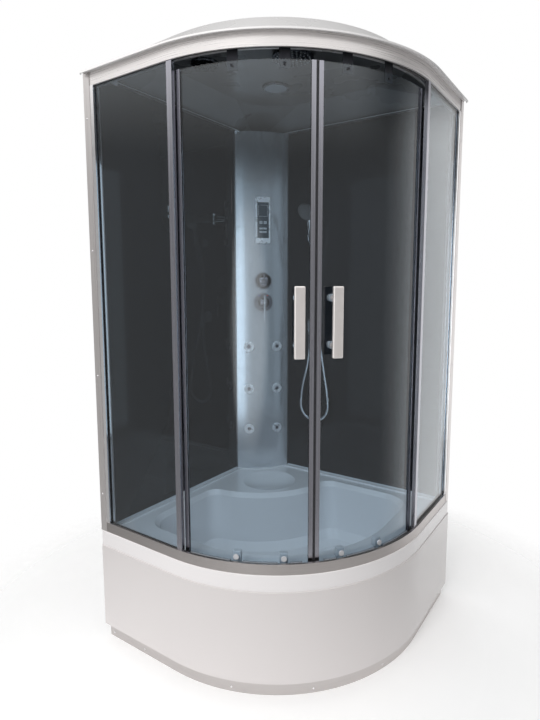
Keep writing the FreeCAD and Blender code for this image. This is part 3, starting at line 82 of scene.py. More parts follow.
class Recipe:
    """A material's node tree, with short calls for the nodes that the finishes share."""

    def __init__(self, name: str) -> None:
        """Starts an empty tree.

        Args:
            name: The material's name.
        """
        self.material = bpy.data.materials.new(name)
        self.material.use_nodes = True
        self.tree = self.material.node_tree
        self.tree.nodes.clear()
        self.output = self.add("ShaderNodeOutputMaterial")
        self.place = self.add("ShaderNodeTexCoord").outputs["Object"]

    def add(self, kind: str, **values: object) -> bpy.types.Node:
        """Adds a node and sets or links its inputs.

        Args:
            kind: Blender's name of the node.
            **values: Inputs by name, with underscores for spaces: a socket is linked, the rest is set.

        Returns:
            The new node.
        """
        node = self.tree.nodes.new(kind)
        for key, value in values.items():
            socket = node.inputs[key.replace("_", " ")]
            if isinstance(value, bpy.types.NodeSocket):
                self.tree.links.new(value, socket)
            else:
                socket.default_value = value
        return node

    def noise(self, scale: float, detail: float = 2.0, stretch: Sequence[float] = (1, 1, 1)) -> Socket:
        """Noise over the piece, in the cabin's own frame.

        Args:
            scale: Cells per metre.
            detail: Octaves of the noise.
            stretch: Factors on the three axes.

        Returns:
            The noise's value.
        """
        mapping = self.add("ShaderNodeMapping", Vector=self.place, Scale=tuple(stretch))
        node = self.add("ShaderNodeTexNoise", Vector=mapping.outputs[0], Scale=scale, Detail=detail)
        return node.outputs[0]

    def spread(self, value: Socket, low: float, high: float, start: float = NOISE_LOW,
               end: float = NOISE_HIGH) -> Socket:
        """Maps a value to a range.

        Args:
            value: The value.
            low: What start becomes.
            high: What end becomes.
            start: Lowest value that counts.
            end: Highest value that counts.

        Returns:
            The mapped value.
        """
        node = self.add("ShaderNodeMapRange", Value=value, From_Min=start, From_Max=end,
                        To_Min=low, To_Max=high)
        return node.outputs[0]

    def blend(self, share: Socket, first: Colour, second: Colour) -> Socket:
        """Goes from one colour to another over the values that a noise mostly has.

        Args:
            share: The share.
            first: Colour of a low share.
            second: Colour of a high share.

        Returns:
            The colour.
        """
        ramp = self.add("ShaderNodeValToRGB", Fac=share)
        ends = ramp.color_ramp.elements
        ends[0].position, ends[0].color = NOISE_LOW, (*first, 1)
        ends[1].position, ends[1].color = NOISE_HIGH, (*second, 1)
        return ramp.outputs[0]

    def mixed(self, share: Socket, first: Socket, second: Colour) -> Socket:
        """Goes from a linked colour to a fixed one as a share goes from 0 to 1.

        Args:
            share: The share.
            first: Linked colour.
            second: Fixed colour.

        Returns:
            The colour.
        """
        node = self.add("ShaderNodeMix")
        node.data_type = "RGBA"
        # The colour sockets are 6 and 7 on the way in and 2 on the way out.
        self.tree.links.new(share, node.inputs[0])
        self.tree.links.new(first, node.inputs[6])
        node.inputs[7].default_value = (*second, 1)
        return node.outputs[2]

    def bump(self, height: Socket, depth: float, strength: float = 1.0) -> Socket:
        """Normal that follows a height of so many metres."""
        return self.add("ShaderNodeBump", Height=height, Distance=depth, Strength=strength).outputs[0]

    def finish(self, shader: bpy.types.Node) -> bpy.types.Material:
        """Links the shader to the output and returns the material."""
        self.tree.links.new(shader.outputs[0], self.output.inputs["Surface"])
        return self.material


def darker(colour: Colour, share: float) -> Colour:
    """The colour times a share."""
    return tuple(c * share for c in colour)


# Finishes


@dataclass(frozen=True)
class Acrylic:
    """Cast sanitary acrylic: deep gloss, a slight waviness and the haze of wiped water; where asked, painted
    shade darkens downward faces within the rails.
    """

    name: str
    colour: Colour
    roughness: float = 0.16
    wave: float = 0.0002
    # Share of the colour kept on downward faces within the rails: painted shade, none at 1.
    underside_painted_shade: float = 1.0
    lip: Colour | None = None
    lip_axis: Place = (-0.1425, 0.1425, 0.0)
    lip_radius: float = 0.606
    lip_edge: float = 0.004
    facing_down: tuple[float, float] = (-0.85, -0.5)
    haze_scale: float = 5.0
    tone_scale: float = 2.0
    coat: float = 0.3
    coat_roughness: float = 0.08

    def beyond(self, r: Recipe, inside: float, outside: float) -> Socket:
        """Goes from one value to another where the piece reaches past the rails, seen from above.

        Args:
            r: The material in the making.
            inside: Value within the rails.
            outside: Value past them.

        Returns:
            The value.
        """
        away = r.add("ShaderNodeVectorMath", Vector=r.place)
        away.operation = "SUBTRACT"
        away.inputs[1].default_value = self.lip_axis
        level = r.add("ShaderNodeVectorMath", Vector=away.outputs[0])
        level.operation = "MULTIPLY"
        level.inputs[1].default_value = (1.0, 1.0, 0.0)
        reach = r.add("ShaderNodeVectorMath", Vector=level.outputs[0])
        reach.operation = "LENGTH"
        return r.spread(reach.outputs["Value"], inside, outside, self.lip_radius,
                        self.lip_radius + self.lip_edge)

    def make(self) -> bpy.types.Material:
        """Builds the material.

        Returns:
            The material with its node tree.
        """
        r = Recipe(self.name)
        haze = r.noise(self.haze_scale, 3.0)
        tone = r.blend(r.noise(self.tone_scale, 2.0), darker(self.colour, 0.985), self.colour)
        if self.lip is not None:
            tone = r.mixed(self.beyond(r, 0.0, 1.0), tone, self.lip)
        # Painted shade: downward faces within the rails get a darker copy of the colour.
        if self.underside_painted_shade < 1.0:
            look = r.add("ShaderNodeSeparateXYZ", Vector=r.add("ShaderNodeNewGeometry").outputs["Normal"])
            shade_downward = r.spread(look.outputs[2], 1.0, 0.0, *self.facing_down)
            within = r.add("ShaderNodeMath")
            within.operation = "MULTIPLY"
            r.tree.links.new(shade_downward, within.inputs[0])
            r.tree.links.new(self.beyond(r, 1.0, 0.0), within.inputs[1])
            tone = r.mixed(within.outputs[0], tone, darker(self.colour, self.underside_painted_shade))
        shader = r.add(
            "ShaderNodeBsdfPrincipled",
            Base_Color=tone,
            Roughness=r.spread(haze, self.roughness * 0.92, self.roughness * 1.12),
            Coat_Weight=self.coat,
            Coat_Roughness=self.coat_roughness,
            Normal=r.bump(r.noise(self.haze_scale, 1.0), self.wave),
        )
        return r.finish(shader)


@dataclass(frozen=True)
class DrawnMetal:
    """Extruded and brushed aluminium or steel, with fine lines along the profile."""

    name: str
    colour: Colour
    grain: Grain
    roughness: float = 0.3
    metallic: float = 1.0
    line_depth: float = 0.00004
    line_strength: float = 0.6

    def make(self) -> bpy.types.Material:
        """Builds the material.

        Returns:
            The material with its node tree.
        """
        r = Recipe(self.name)
        lines = r.noise(1.0, 4.0, self.grain.value)
        tone = r.blend(lines, darker(self.colour, 0.9), self.colour)
        shader = r.add(
            "ShaderNodeBsdfPrincipled",
            Base_Color=tone,
            Metallic=self.metallic,
            Roughness=r.spread(lines, self.roughness * 0.8, self.roughness * 1.25),
            Normal=r.bump(lines, self.line_depth, self.line_strength),
        )
        return r.finish(shader)


@dataclass(frozen=True)
class Plating:
    """Polished plating with the faint smears that hands and water leave."""

    name: str
    colour: Colour
    roughness: float = 0.07
    metallic: float = 1.0
    smear_scale: float = 38.0
    ripple_scale: float = 60.0
    ripple_depth: float = 0.00002

    def make(self) -> bpy.types.Material:
        """Builds the material.

        Returns:
            The material with its node tree.
        """
        r = Recipe(self.name)
        smears = r.noise(self.smear_scale, 6.0)
        shader = r.add(
            "ShaderNodeBsdfPrincipled",
            Base_Color=r.blend(smears, darker(self.colour, 0.94), self.colour),
            Metallic=self.metallic,
            Roughness=r.spread(smears, self.roughness * 0.7, self.roughness * 1.9),
            Normal=r.bump(r.noise(self.ripple_scale, 2.0), self.ripple_depth),
        )
        return r.finish(shader)


@dataclass(frozen=True)
class Spangle:
    """Zinc plating with its crystal pattern."""

    name: str
    colour: Colour
    crystal_scale: float = 130.0
    roughness: tuple[float, float] = (0.34, 0.52)
    grain_scale: float = 220.0
    grain_depth: float = 0.00004

    def make(self) -> bpy.types.Material:
        """Builds the material.

        Returns:
            The material with its node tree.
        """
        r = Recipe(self.name)
        cells = r.add("ShaderNodeTexVoronoi", Vector=r.place, Scale=self.crystal_scale).outputs["Color"]
        share = r.add("ShaderNodeSeparateColor", Color=cells).outputs[0]
        shader = r.add(
            "ShaderNodeBsdfPrincipled",
            Base_Color=r.blend(share, darker(self.colour, 0.8), self.colour),
            Metallic=1.0,
            Roughness=r.spread(share, *self.roughness, 0.0, 1.0),
            Normal=r.bump(r.noise(self.grain_scale, 3.0), self.grain_depth),
        )
        return r.finish(shader)


@dataclass(frozen=True)
class Pane:
    """Tempered glass: a tinted see-through body under a clear gloss that grows towards the rim."""

    name: str
    tint: Colour
    facing: float = 0.045
    falloff: float = 4.6
    roughness: float = 0.003
    film_scale: float = 16.0

    def make(self) -> bpy.types.Material:
        """Builds the material.

        Returns:
            The material with its node tree.
        """
        r = Recipe(self.name)
        film = r.noise(self.film_scale, 6.0)
        body = r.add("ShaderNodeBsdfTransparent", Color=(*self.tint, 1))
        gloss = r.add(
            "ShaderNodeBsdfPrincipled",
            Base_Color=(1.0, 1.0, 1.0, 1),
            Metallic=1.0,
            Roughness=r.spread(film, self.roughness, self.roughness * 3),
        )
        slant = r.add("ShaderNodeLayerWeight", Blend=0.5).outputs["Facing"]
        steep = r.add("ShaderNodeMath")
        steep.operation = "POWER"
        r.tree.links.new(slant, steep.inputs[0])
        steep.inputs[1].default_value = self.falloff
        rim = r.spread(steep.outputs[0], self.facing, 1.0, 0.0, 1.0)
        mix = r.add("ShaderNodeMixShader", Fac=rim)
        r.tree.links.new(body.outputs[0], mix.inputs[1])
        r.tree.links.new(gloss.outputs[0], mix.inputs[2])
        return r.finish(mix)


@dataclass(frozen=True)
class Lacquer:
    """Back-painted or moulded gloss panel: an even dark body under a hard clear coat."""

    name: str
    colour: Colour
    roughness: float = 0.08
    coat: float = 0.6
    specular: float = 0.5
    coat_roughness: float = 0.03
    film_scale: float = 12.0
    tone_scale: float = 3.0
    wave_scale: float = 4.0
    wave: float = 0.0001

    def make(self) -> bpy.types.Material:
        """Builds the material.

        Returns:
            The material with its node tree.
        """
        r = Recipe(self.name)
        film = r.noise(self.film_scale, 5.0)
        shader = r.add(
            "ShaderNodeBsdfPrincipled",
            Base_Color=r.blend(r.noise(self.tone_scale, 2.0), darker(self.colour, 0.92), self.colour),
            Roughness=r.spread(film, self.roughness * 0.9, self.roughness * 1.2),
            Coat_Weight=self.coat,
            Coat_Roughness=self.coat_roughness,
            Specular_IOR_Level=self.specular,
            Normal=r.bump(r.noise(self.wave_scale, 1.0), self.wave),
        )
        return r.finish(shader)


@dataclass(frozen=True)
class FlakePaint:
    """Metallic lacquer with fine flakes under a clear coat."""

    name: str
    colour: Colour
    metallic: float = 0.8
    roughness: float = 0.22
    coat: float = 0.3
    coat_roughness: float = 0.1
    flake_scale: float = 900.0
    flake_depth: float = 0.000004
    flake_strength: float = 0.3
    tone_scale: float = 6.0

    def make(self) -> bpy.types.Material:
        """Builds the material.

        Returns:
            The material with its node tree.
        """
        r = Recipe(self.name)
        flakes = r.noise(self.flake_scale, 2.0)
        shader = r.add(
            "ShaderNodeBsdfPrincipled",
            Base_Color=r.blend(flakes, darker(self.colour, 0.96), self.colour),
            Metallic=self.metallic,
            Roughness=r.spread(r.noise(self.tone_scale, 2.0), self.roughness * 0.96, self.roughness * 1.05),
            Coat_Weight=self.coat,
            Coat_Roughness=self.coat_roughness,
            Normal=r.bump(flakes, self.flake_depth, self.flake_strength),
        )
        return r.finish(shader)


@dataclass(frozen=True)
class Moulding:
    """Moulded plastic or rubber with a fine spark-eroded grain."""

    name: str
    colour: Colour
    roughness: float = 0.45
    grain: float = 0.00005
    tone_scale: float = 20.0
    gloss_scale: float = 90.0
    grain_scale: float = 700.0

    def make(self) -> bpy.types.Material:
        """Builds the material.

        Returns:
            The material with its node tree.
        """
        r = Recipe(self.name)
        shader = r.add(
            "ShaderNodeBsdfPrincipled",
            Base_Color=r.blend(r.noise(self.tone_scale, 4.0), darker(self.colour, 0.92), self.colour),
            Roughness=r.spread(r.noise(self.gloss_scale, 3.0), self.roughness * 0.9, self.roughness * 1.15),
            Normal=r.bump(r.noise(self.grain_scale, 2.0), self.grain),
        )
        return r.finish(shader)


@dataclass(frozen=True)
class Finishes:
    """Every finish of the cabin, by the record's material slot, and those of the added pieces."""

    tray_acrylic: Acrylic = Acrylic("tray_acrylic", (0.82, 0.82, 0.84), roughness=0.2,
                                    lip=(0.86, 0.835, 0.84))
    apron_gloss: Acrylic = Acrylic("apron_gloss", (0.71, 0.675, 0.67), roughness=0.2)
    # The roof's inner faces within the rails carry painted shade at 0.12 of the colour.
    roof_gloss: Acrylic = Acrylic("roof_gloss", (0.90, 0.89, 0.89), roughness=0.28, underside_painted_shade=0.12)
    plinth_metal: DrawnMetal = DrawnMetal("plinth_metal", (0.62, 0.59, 0.58), Grain.LEVEL, roughness=0.42)
    zinc_steel: Spangle = Spangle("zinc_steel", (0.55, 0.56, 0.57))
    chrome: Plating = Plating("chrome", (0.88, 0.87, 0.88))
    grey_plastic: Moulding = Moulding("grey_plastic", (0.42, 0.43, 0.44), roughness=0.5)
    satin_aluminium: DrawnMetal = DrawnMetal("satin_aluminium", (0.80, 0.77, 0.76), Grain.LEVEL,
                                             roughness=0.3, metallic=0.4)
    sill_aluminium: DrawnMetal = DrawnMetal("sill_aluminium", (0.46, 0.43, 0.42), Grain.LEVEL,
                                            roughness=0.36)
    upright_aluminium: DrawnMetal = DrawnMetal("upright_aluminium", (0.66, 0.63, 0.62), Grain.UPRIGHT,
                                               roughness=0.34, metallic=0.8)
    strip_aluminium: DrawnMetal = DrawnMetal("strip_aluminium", (0.36, 0.36, 0.40), Grain.UPRIGHT,
                                             roughness=0.24)
    dark_metal: Moulding = Moulding("dark_metal", (0.012, 0.013, 0.018), roughness=0.6)
    smoked_glass: Pane = Pane("smoked_glass", (0.83, 0.885, 0.925), facing=0.04, falloff=5.2)
    clear_glass: Pane = Pane("clear_glass", (0.86, 0.93, 0.92))
    dark_panel: Lacquer = Lacquer("dark_panel", (0.010, 0.011, 0.014), roughness=0.05, coat=0.0, specular=0.3)
    pale_plastic: Moulding = Moulding("pale_plastic", (0.66, 0.67, 0.70), roughness=0.38)
    column_silver: FlakePaint = FlakePaint("column_silver", (0.66, 0.68, 0.71))
    handle_chrome: Plating = Plating("handle_chrome", (0.94, 0.89, 0.87), roughness=0.12, metallic=0.65)
    # Chrome darkened to 0.13: painted shade for the rain head and ceiling covers in the roof's shaded inside.
    rain_chrome: Plating = Plating("rain_chrome", (0.13, 0.135, 0.15), roughness=0.22)
    knob_chrome: Plating = Plating("knob_chrome", (0.25, 0.24, 0.27), roughness=0.1)
    bezel_chrome: Plating = Plating("bezel_chrome", (0.90, 0.91, 0.94), roughness=0.24, metallic=0.55)
    screen_gloss: Lacquer = Lacquer("screen_gloss", (0.035, 0.052, 0.068), roughness=0.06)
    button_silver: Moulding = Moulding("button_silver", (0.50, 0.53, 0.57), roughness=0.3)
    brass: Plating = Plating("brass", (0.60, 0.46, 0.24), roughness=0.24)
    # The lens's mid grey holds painted shade: its colour is dimmed because it sits in the roof's shaded
    # inside.
    lamp_lens: Moulding = Moulding("lamp_lens", (0.46, 0.49, 0.53), roughness=0.3)
    chrome_hose: Plating = Plating("chrome_hose", (0.72, 0.73, 0.76), roughness=0.16)
    black_rubber: Moulding = Moulding("black_rubber", (0.022, 0.022, 0.026), roughness=0.55)
    clear_seal: Moulding = Moulding("clear_seal", (0.30, 0.32, 0.35), roughness=0.25)
    silicone: Moulding = Moulding("silicone", (0.60, 0.62, 0.65), roughness=0.3)
    mark_ink: Moulding = Moulding("mark_ink", (0.10, 0.11, 0.13), roughness=0.4)
    warm_dot: Moulding = Moulding("warm_dot", (0.55, 0.03, 0.02), roughness=0.25)
    cool_dot: Moulding = Moulding("cool_dot", (0.02, 0.09, 0.42), roughness=0.25)


class Paintbox:
    """Makes each finish once and puts it on pieces."""

    def __init__(self, finishes: Finishes) -> None:
        """Keeps the finishes.

        Args:
            finishes: The table of finishes.
        """
        self.finishes = finishes
        self.made: dict[str, bpy.types.Material] = {}

    def material(self, name: str) -> bpy.types.Material:
        """Gives the material of a finish, and makes it at its first use.

        Args:
            name: The finish.

        Returns:
            Its material.
        """
        if name not in self.made:
            self.made[name] = getattr(self.finishes, name).make()
        return self.made[name]

    def coat(self, piece: bpy.types.Object, name: str) -> bpy.types.Object:
        """Puts a finish on every material slot of a piece.

        Args:
            piece: The piece.
            name: The finish.

        Returns:
            The piece.
        """
        material = self.material(name)
        if not piece.material_slots:
            piece.data.materials.append(material)
        for slot in piece.material_slots:
            slot.material = material
        return piece

    def dress(self, nodes: Iterable[str], name: str) -> None:
        """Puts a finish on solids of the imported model.

        Args:
            nodes: Names of the solids.
            name: The finish.
        """
        for node in nodes:
            self.coat(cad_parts[node], name)
            log.info("dressed %s in %s", node, name)


# Meshes

Section = Sequence[tuple[float, float]]
Station = tuple[Vector, Vector, Vector]


def mesh_piece(name: str, points: Sequence[Vector], faces: Sequence[Sequence[int]], crease: float = 35.0
               ) -> bpy.types.Object:
    """Object from points and faces, smooth but for edges sharper than a crease angle.

    Args:
        name: The piece's name.
        points: Its vertices, in the cabin's frame.
        faces: Its faces, as vertex numbers.
        crease: Angle in degrees above which an edge stays sharp.

    Returns:
        The new object, linked to the scene.
    """
    mesh = bpy.data.meshes.new(name)
    mesh.from_pydata([tuple(p) for p in points], [], [tuple(f) for f in faces])
    shape = bmesh.new()
    shape.from_mesh(mesh)
    bmesh.ops.recalc_face_normals(shape, faces=shape.faces)
    shape.to_mesh(mesh)
    shape.free()
    mesh.shade_smooth()
    mesh.set_sharp_from_angle(angle=math.radians(crease))
    piece = bpy.data.objects.new(name, mesh)
    bpy.context.scene.collection.objects.link(piece)
    return piece


class Stock:
    """Gathers rings and faces of several shapes that make up one piece."""

    def __init__(self) -> None:
        """Starts empty."""
        self.points: list[Vector] = []
        self.faces: list[list[int]] = []

    def rings(self, rings: Sequence[Sequence[Vector]], closed: bool = True) -> None:
        """Adds a skin over rings of equal count, with an end cap on the first and last ring.

        Args:
            rings: The rings, in order.
            closed: Whether the ends are capped.
        """
        base = len(self.points)
        count = len(rings[0])
        for ring in rings:
            self.points.extend(ring)
        for i in range(len(rings) - 1):
            for j in range(count):
                a = base + i * count + j
                b = base + i * count + (j + 1) % count
                self.faces.append([a, b, b + count, a + count])
        if closed:
            self.faces.append([base + j for j in reversed(range(count))])
            last = base + (len(rings) - 1) * count
            self.faces.append([last + j for j in range(count)])

    def swept(self, stations: Sequence[Station], section: Section) -> None:
        """Adds a section swept along stations.

        Args:
            stations: Point, first direction and second direction at each place.
            section: Closed outline, as pairs along the two directions.
        """
        self.rings([[p + u * a + w * b for a, b in section] for p, u, w in stations])

    def turned(self, profile: Section, place: Matrix, sides: int = 28, socket: int = 0) -> None:
        """Adds a shape turned about the local X axis.

        Args:
            profile: Pairs of place along the axis and radius.
            place: Where the local frame lies.
            sides: Facets round the axis.
            socket: How many of the last profile points form a hexagonal recess.
        """
        rings = []
        for number, (along, radius) in enumerate(profile):
            ring = []
            for i in range(sides):
                angle = 2 * math.pi * i / sides
                r = radius
                if number >= len(profile) - socket:
                    wedge = math.pi / 3
                    r = radius * math.cos(wedge / 2) / math.cos(angle % wedge - wedge / 2)
                ring.append(place @ Vector((along, r * math.cos(angle), r * math.sin(angle))))
            rings.append(ring)
        self.rings(rings)

    def piece(self, name: str, crease: float = 35.0) -> bpy.types.Object:
        """The gathered shapes as one object."""
        return mesh_piece(name, self.points, self.faces, crease)


def rounded(width: float, depth: float, radius: float, steps: int = 4) -> list[tuple[float, float]]:
    """Outline of a rectangle about the origin with round corners.

    Args:
        width: Size along the first direction.
        depth: Size along the second.
        radius: Radius of the corners.
        steps: Facets of each corner.

    Returns:
        The outline, as pairs.
    """
    outline = []
    for quarter, (sx, sy) in enumerate(((1, 1), (-1, 1), (-1, -1), (1, -1))):
        for i in range(steps + 1):
            angle = math.pi / 2 * (quarter + i / steps)
            outline.append((sx * (width / 2 - radius) + radius * math.cos(angle),
                            sy * (depth / 2 - radius) + radius * math.sin(angle)))
    return outline


def moved(section: Section, da: float, db: float) -> list[tuple[float, float]]:
    """The outline, shifted."""
    return [(a + da, b + db) for a, b in section]


def mirrored(point: Vector) -> Vector:
    """The same place on the other half of the cabin."""
    return Vector((-point.y, -point.x, point.z))


def on_side(side: Side, point: Vector) -> Vector:
    """A place given for the left half, on the wanted half."""
    return point if side is Side.LEFT else mirrored(point)


def aim(point: Vector, direction: Vector) -> Matrix:
    """Frame at a point whose local X looks along a direction."""
    turn = direction.to_track_quat("X", "Z").to_matrix().to_4x4()
    return Matrix.Translation(point) @ turn


# Plan of the cabin


@dataclass(frozen=True)
class Plan:
    """Plan of the cabin that several pieces share, in metres."""

    half: float = 0.5065
    front: float = 0.4935
    arc: Vector = field(default_factory=lambda: Vector((-0.1425, 0.1425, 0)))
    radius: float = 0.636
    rail_base: float = 0.418
    bay_base: float = 0.4535
    bay_top: float = 1.985
    frame_top: float = 2.029
    column_radius: float = 0.330
    column_axis: float = 0.162
    door_glass_outer: float = 0.606
    door_base: float = 0.442
    door_top: float = 1.960

    def front_stations(self, offset: float, z: float, margin: float, steps: int = 96) -> list[Station]:
        """Places along the front, from the left wall to the right one.

        Args:
            offset: Distance outwards from the tray's outline.
            z: Height.
            margin: Distance of the ends from the rear walls' outside.
            steps: Facets of the arc.

        Returns:
            Stations whose directions are outwards and up.
        """
        face = self.front + offset
        stations = []
        start = Vector((margin - self.half, -face, z))
        stations.append((start, Vector((0, -1, 0)), UP))
        for i in range(steps + 1):
            angle = math.pi / 2 * (i / steps - 1)
            out = Vector((math.cos(angle), math.sin(angle), 0))
            stations.append((Vector((self.arc.x, self.arc.y, z)) + out * (self.radius + offset), out, UP))
        stations.append((mirrored(start), Vector((1, 0, 0)), UP))
        return stations

    def door_stations(self, side: Side, radius: float, a0: float, a1: float, z: float, steps: int = 40
                      ) -> list[Station]:
        """Places along a sliding door, between two angles from the far end of the arc.

        Args:
            side: Which door.
            radius: Distance from the arc's axis.
            a0: First angle in degrees.
            a1: Last angle in degrees.
            z: Height.
            steps: Facets.

        Returns:
            Stations whose directions are outwards and up.
        """
        stations = []
        for i in range(steps + 1):
            angle = -math.radians(a0 + (a1 - a0) * i / steps)
            out = Vector((math.cos(angle), math.sin(angle), 0))
            point = Vector((self.arc.x, self.arc.y, z)) + out * radius
            stations.append((on_side(side, point), on_side(side, out), UP))
        return stations

    def column_frame(self, degrees: float, z: float) -> Matrix:
        """Frame on the column's face.

        Args:
            degrees: Angle from the middle of the face.
            z: Height.

        Returns:
            The frame, with X out of the face.
        """
        return (Matrix.Translation(Vector((-self.half, self.half, 0)))
                @ Matrix.Rotation(math.radians(45), 4, "Z")
                @ Matrix.Translation(Vector((0, self.column_axis, z)))
                @ Matrix.Rotation(math.radians(degrees - 90), 4, "Z")
                @ Matrix.Translation(Vector((self.column_radius, 0, 0))))


PLAN = Plan()


# Pieces and their assemblies


SCREW_HEAD: Section = (
    (0.0, 1.0), (0.22, 1.0), (0.45, 0.86), (0.58, 0.62), (0.6, 0.52), (0.6, 0.44), (0.2, 0.42), (0.2, 0.02),
)


def screw(stock: Stock, point: Vector, direction: Vector, radius: float) -> None:
    """Adds a pan-head screw with a hexagonal socket.

    Args:
        stock: Where the shape goes.
        point: Middle of the head's seat.
        direction: Out of the surface.
        radius: Radius of the head.
    """
    profile = [(a * radius, r * radius) for a, r in SCREW_HEAD]
    stock.turned(profile, aim(point, direction), sides=24, socket=3)


@dataclass
class Assembly:
    """A group of pieces that share a paintbox and ride on the same body unless told otherwise."""

    paint: Paintbox
    body: str = "cabin"

    def place(self, piece: bpy.types.Object, finish: str, body: str | None = None, slot: str | None = None
              ) -> bpy.types.Object:
        """Dresses a new piece and sets it on its body.

        Args:
            piece: The new object.
            finish: Its finish.
            body: The body it rides on, or the assembly's own.
            slot: The record's slot of its finish, if it has one; not used.

        Returns:
            The piece.
        """
        self.paint.coat(piece, finish)
        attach(piece, body or self.body)
        log.info("built %s", piece.name)
        return piece

    def build(self) -> None:
        """Dresses the solids and builds the small pieces."""
        raise NotImplementedError


# Studio


@dataclass(frozen=True)
class Step:
    """Smooth step of a value: low up to start, high from end on."""

    start: float
    end: float
    low: float
    high: float


@dataclass
class Surroundings:
    """World that is white for the camera, plain light for the object, and shaped for its gloss.

    The steps follow the parts of a ray's direction: x to the right, y to the back and z up. The gloss sees a
    bright backdrop that darkens upwards, a bright canopy in front and a soft box.
    """

    backdrop: Step = Step(0.35, 0.9, 0.42, 1.3)
    backdrop_height: Step = Step(0.24, 0.36, 1.0, 0.28)
    canopy: Step = Step(0.22, 0.42, 0.0, 1.5)
    canopy_depth: Step = Step(-0.1, 0.5, 1.0, 0.0)
    soft_box: Step = Step(0.965, 0.992, 0.0, 1.9)
    soft_box_axis: Place = (0.25, -0.965, -0.08)
    sides: Step = Step(-1.0, 1.0, 0.6, 0.216)
    overhead: Step = Step(0.2, 0.8, 0.0, 0.32)
    tree: bpy.types.NodeTree = field(init=False)

    def __post_init__(self) -> None:
        """Starts the world with an empty node tree."""
        world = bpy.data.worlds.new("studio")
        bpy.context.scene.world = world
        world.use_nodes = True
        self.tree = world.node_tree
        self.tree.nodes.clear()

    def ramp(self, value: Socket, step: Step) -> Socket:
        """Follows a step.

        Args:
            value: What the step depends on.
            step: The step.

        Returns:
            The stepped value.
        """
        node = self.tree.nodes.new("ShaderNodeMapRange")
        node.interpolation_type = "SMOOTHSTEP"
        self.tree.links.new(value, node.inputs["Value"])
        node.inputs["From Min"].default_value = step.start
        node.inputs["From Max"].default_value = step.end
        node.inputs["To Min"].default_value = step.low
        node.inputs["To Max"].default_value = step.high
        return node.outputs[0]

    def join(self, operation: str, first: Socket, second: Socket) -> Socket:
        """Joins two values.

        Args:
            operation: Blender's name of the sum, product or maximum.
            first: One value.
            second: The other.

        Returns:
            The joined value.
        """
        node = self.tree.nodes.new("ShaderNodeMath")
        node.operation = operation
        self.tree.links.new(first, node.inputs[0])
        self.tree.links.new(second, node.inputs[1])
        return node.outputs[0]

    def gloss(self, direction: Socket, parts: bpy.types.Node) -> Socket:
        """Brightness that reflections see.

        Args:
            direction: The ray's direction.
            parts: The node that gives its parts.

        Returns:
            The brightness.
        """
        back, up = parts.outputs[1], parts.outputs[2]
        backdrop = self.join("MULTIPLY", self.ramp(back, self.backdrop), self.ramp(up, self.backdrop_height))
        towards = self.tree.nodes.new("ShaderNodeVectorMath")
        towards.operation = "DOT_PRODUCT"
        towards.inputs[1].default_value = self.soft_box_axis
        self.tree.links.new(direction, towards.inputs[0])
        soft_box = self.ramp(towards.outputs["Value"], self.soft_box)
        canopy = self.join("MULTIPLY", self.ramp(up, self.canopy), self.ramp(back, self.canopy_depth))
        return self.join("ADD", self.join("ADD", backdrop, soft_box), canopy)

    def build(self) -> None:
        """Builds the world's nodes."""
        rays = self.tree.nodes.new("ShaderNodeLightPath")
        direction = self.tree.nodes.new("ShaderNodeTexCoord").outputs["Generated"]
        parts = self.tree.nodes.new("ShaderNodeSeparateXYZ")
        self.tree.links.new(direction, parts.inputs[0])
        across, up = parts.outputs[0], parts.outputs[2]
        light = self.join("ADD", self.ramp(across, self.sides), self.ramp(up, self.overhead))
        lit = self.tree.nodes.new("ShaderNodeMix")
        self.tree.links.new(light, lit.inputs["A"])
        self.tree.links.new(rays.outputs["Is Glossy Ray"], lit.inputs["Factor"])
        self.tree.links.new(self.gloss(direction, parts), lit.inputs["B"])
        seen = self.join("MAXIMUM", rays.outputs["Is Camera Ray"], rays.outputs["Is Transmission Ray"])
        level = self.tree.nodes.new("ShaderNodeMix")
        self.tree.links.new(seen, level.inputs["Factor"])
        self.tree.links.new(lit.outputs[0], level.inputs["A"])
        level.inputs["B"].default_value = 1.0
        white = self.tree.nodes.new("ShaderNodeBackground")
        white.inputs["Color"].default_value = (1, 1, 1, 1)
        self.tree.links.new(level.outputs[0], white.inputs["Strength"])
        output = self.tree.nodes.new("ShaderNodeOutputWorld")
        self.tree.links.new(white.outputs[0], output.inputs[0])


@dataclass(frozen=True)
class Lamp:
    """Soft square lamp that neither the camera nor a reflection sees."""

    name: str
    place: Place
    target: Place
    size: float
    power: float
    tint: Colour

    def build(self) -> None:
        """Adds the lamp to the scene."""
        data = bpy.data.lights.new(self.name, "AREA")
        data.size = self.size
        data.energy = self.power
        data.color = self.tint
        lamp = bpy.data.objects.new(self.name, data)
        lamp.location = self.place
        lamp.visible_glossy = False
        lamp.visible_camera = False
        direction = Vector(self.target) - Vector(self.place)
        lamp.rotation_euler = direction.to_track_quat("-Z", "Y").to_euler()
        bpy.context.scene.collection.objects.link(lamp)


